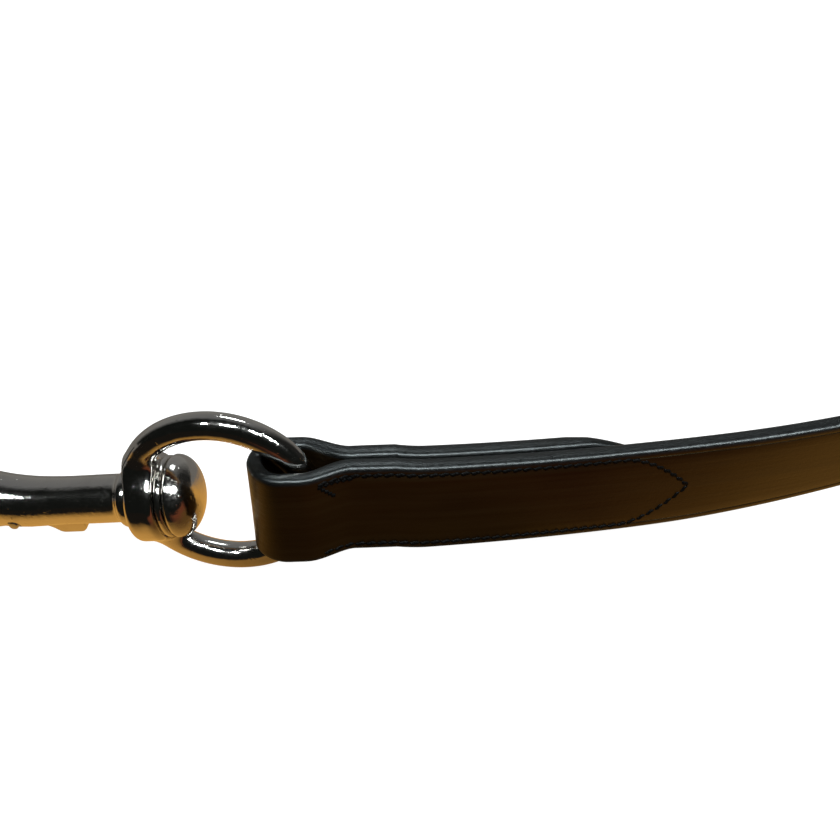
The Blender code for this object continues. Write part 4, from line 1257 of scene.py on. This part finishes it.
def add_lights():
    """Small ceiling lamps over and behind the viewer, and one over the far side."""
    add_light("lamp_front_left", (-0.42, -0.62, 1.05), 0.0, 0.06, 0.20, 2.6)
    add_light("lamp_front_middle", (0.08, -0.66, 1.20), 0.0, 0.34, 0.14, 13.0)
    add_light("lamp_front_right", (0.60, -0.55, 1.05), 0.05, 0.12, 0.26, 9.0)
    add_light("lamp_right", (1.05, -0.38, 1.0), 0.10, 0.16, 0.30, 10.0)
    add_light("lamp_back", (0.10, 0.75, 1.0), 0.05, 0.5, 0.12, 2.5)


def add_world():
    """Grey room behind the object, dark on the viewer's side."""
    world = bpy.data.worlds.new("studio")
    bpy.context.scene.world = world
    world.use_nodes = True
    n = Nodes(world.node_tree)
    split = n.add("ShaderNodeSeparateXYZ", Vector=n.place("Generated"))
    rise = n.add("ShaderNodeValToRGB")
    rise.color_ramp.elements[0].color = (0.26, 0.255, 0.24, 1.0)
    rise.color_ramp.elements[1].color = (0.17, 0.175, 0.18, 1.0)
    n.put(rise.inputs[0], split.outputs["Z"])
    front = n.stretch(split.outputs["Y"], -0.02, 0.34)
    room = n.mix_colour(n.stretch(split.outputs["X"], 0.35, 0.75), rise.outputs[0], (0.020, 0.020, 0.019))
    colour = n.mix_colour(front, (0.008, 0.009, 0.008), room)
    n.feed(n.tree.nodes["Background"], Color=colour, Strength=1.0)


def add_camera():
    """Looks down at the eye from the front right, as a person leaning over a table."""
    data = bpy.data.cameras.new("camera")
    data.lens = 45.0
    data.sensor_width = 36.0
    data.clip_start = 0.005
    camera = new_object("camera", data)
    camera.location = EYE_CENTRE + Vector(CAMERA_FROM_EYE)
    camera.rotation_euler = CAMERA_TURN
    bpy.context.scene.camera = camera
    bpy.context.scene.view_settings.view_transform = "Standard"


def build():
    leather = leather_material()
    thread = thread_material()
    nickel = metal_material("nickel_plate", (0.62, 0.60, 0.57), (0.50, 0.46, 0.42), 0.05, 0.22,
                            0.12 * MM, 0.04 * MM)
    cast = metal_material("cast_nickel", (0.62, 0.60, 0.57), (0.46, 0.42, 0.38), 0.06, 0.26,
                          0.20 * MM, 0.07 * MM, 0.45)
    steel = metal_material("drawn_steel", (0.45, 0.45, 0.46), (0.33, 0.33, 0.34), 0.18, 0.40,
                           0.04 * MM, 0.02 * MM)
    brass = metal_material("polished_brass", (0.58, 0.42, 0.16), (0.42, 0.29, 0.10), 0.12, 0.35,
                           0.05 * MM, 0.03 * MM)
    snap_strap(leather, thread)
    body_strap(leather, thread)
    for side in ("left", "right"):
        fork_strap(side, leather, thread)
    keeper("fixed_keeper", 276 * MM, "straps", leather)
    keeper("sliding_keeper", 292 * MM, "keeper", leather)
    swivel_eye(nickel)
    swivel_rivet(cast)
    swivel_washer(cast)
    hook_body(cast)
    trigger_lever(nickel)
    trigger_fittings(steel)
    fork_rings(nickel)
    buckle_frame(nickel)
    buckle_tongue(nickel)
    crotch_fixings(brass)
    add_floor()
    add_lights()
    add_world()
    add_camera()


build()
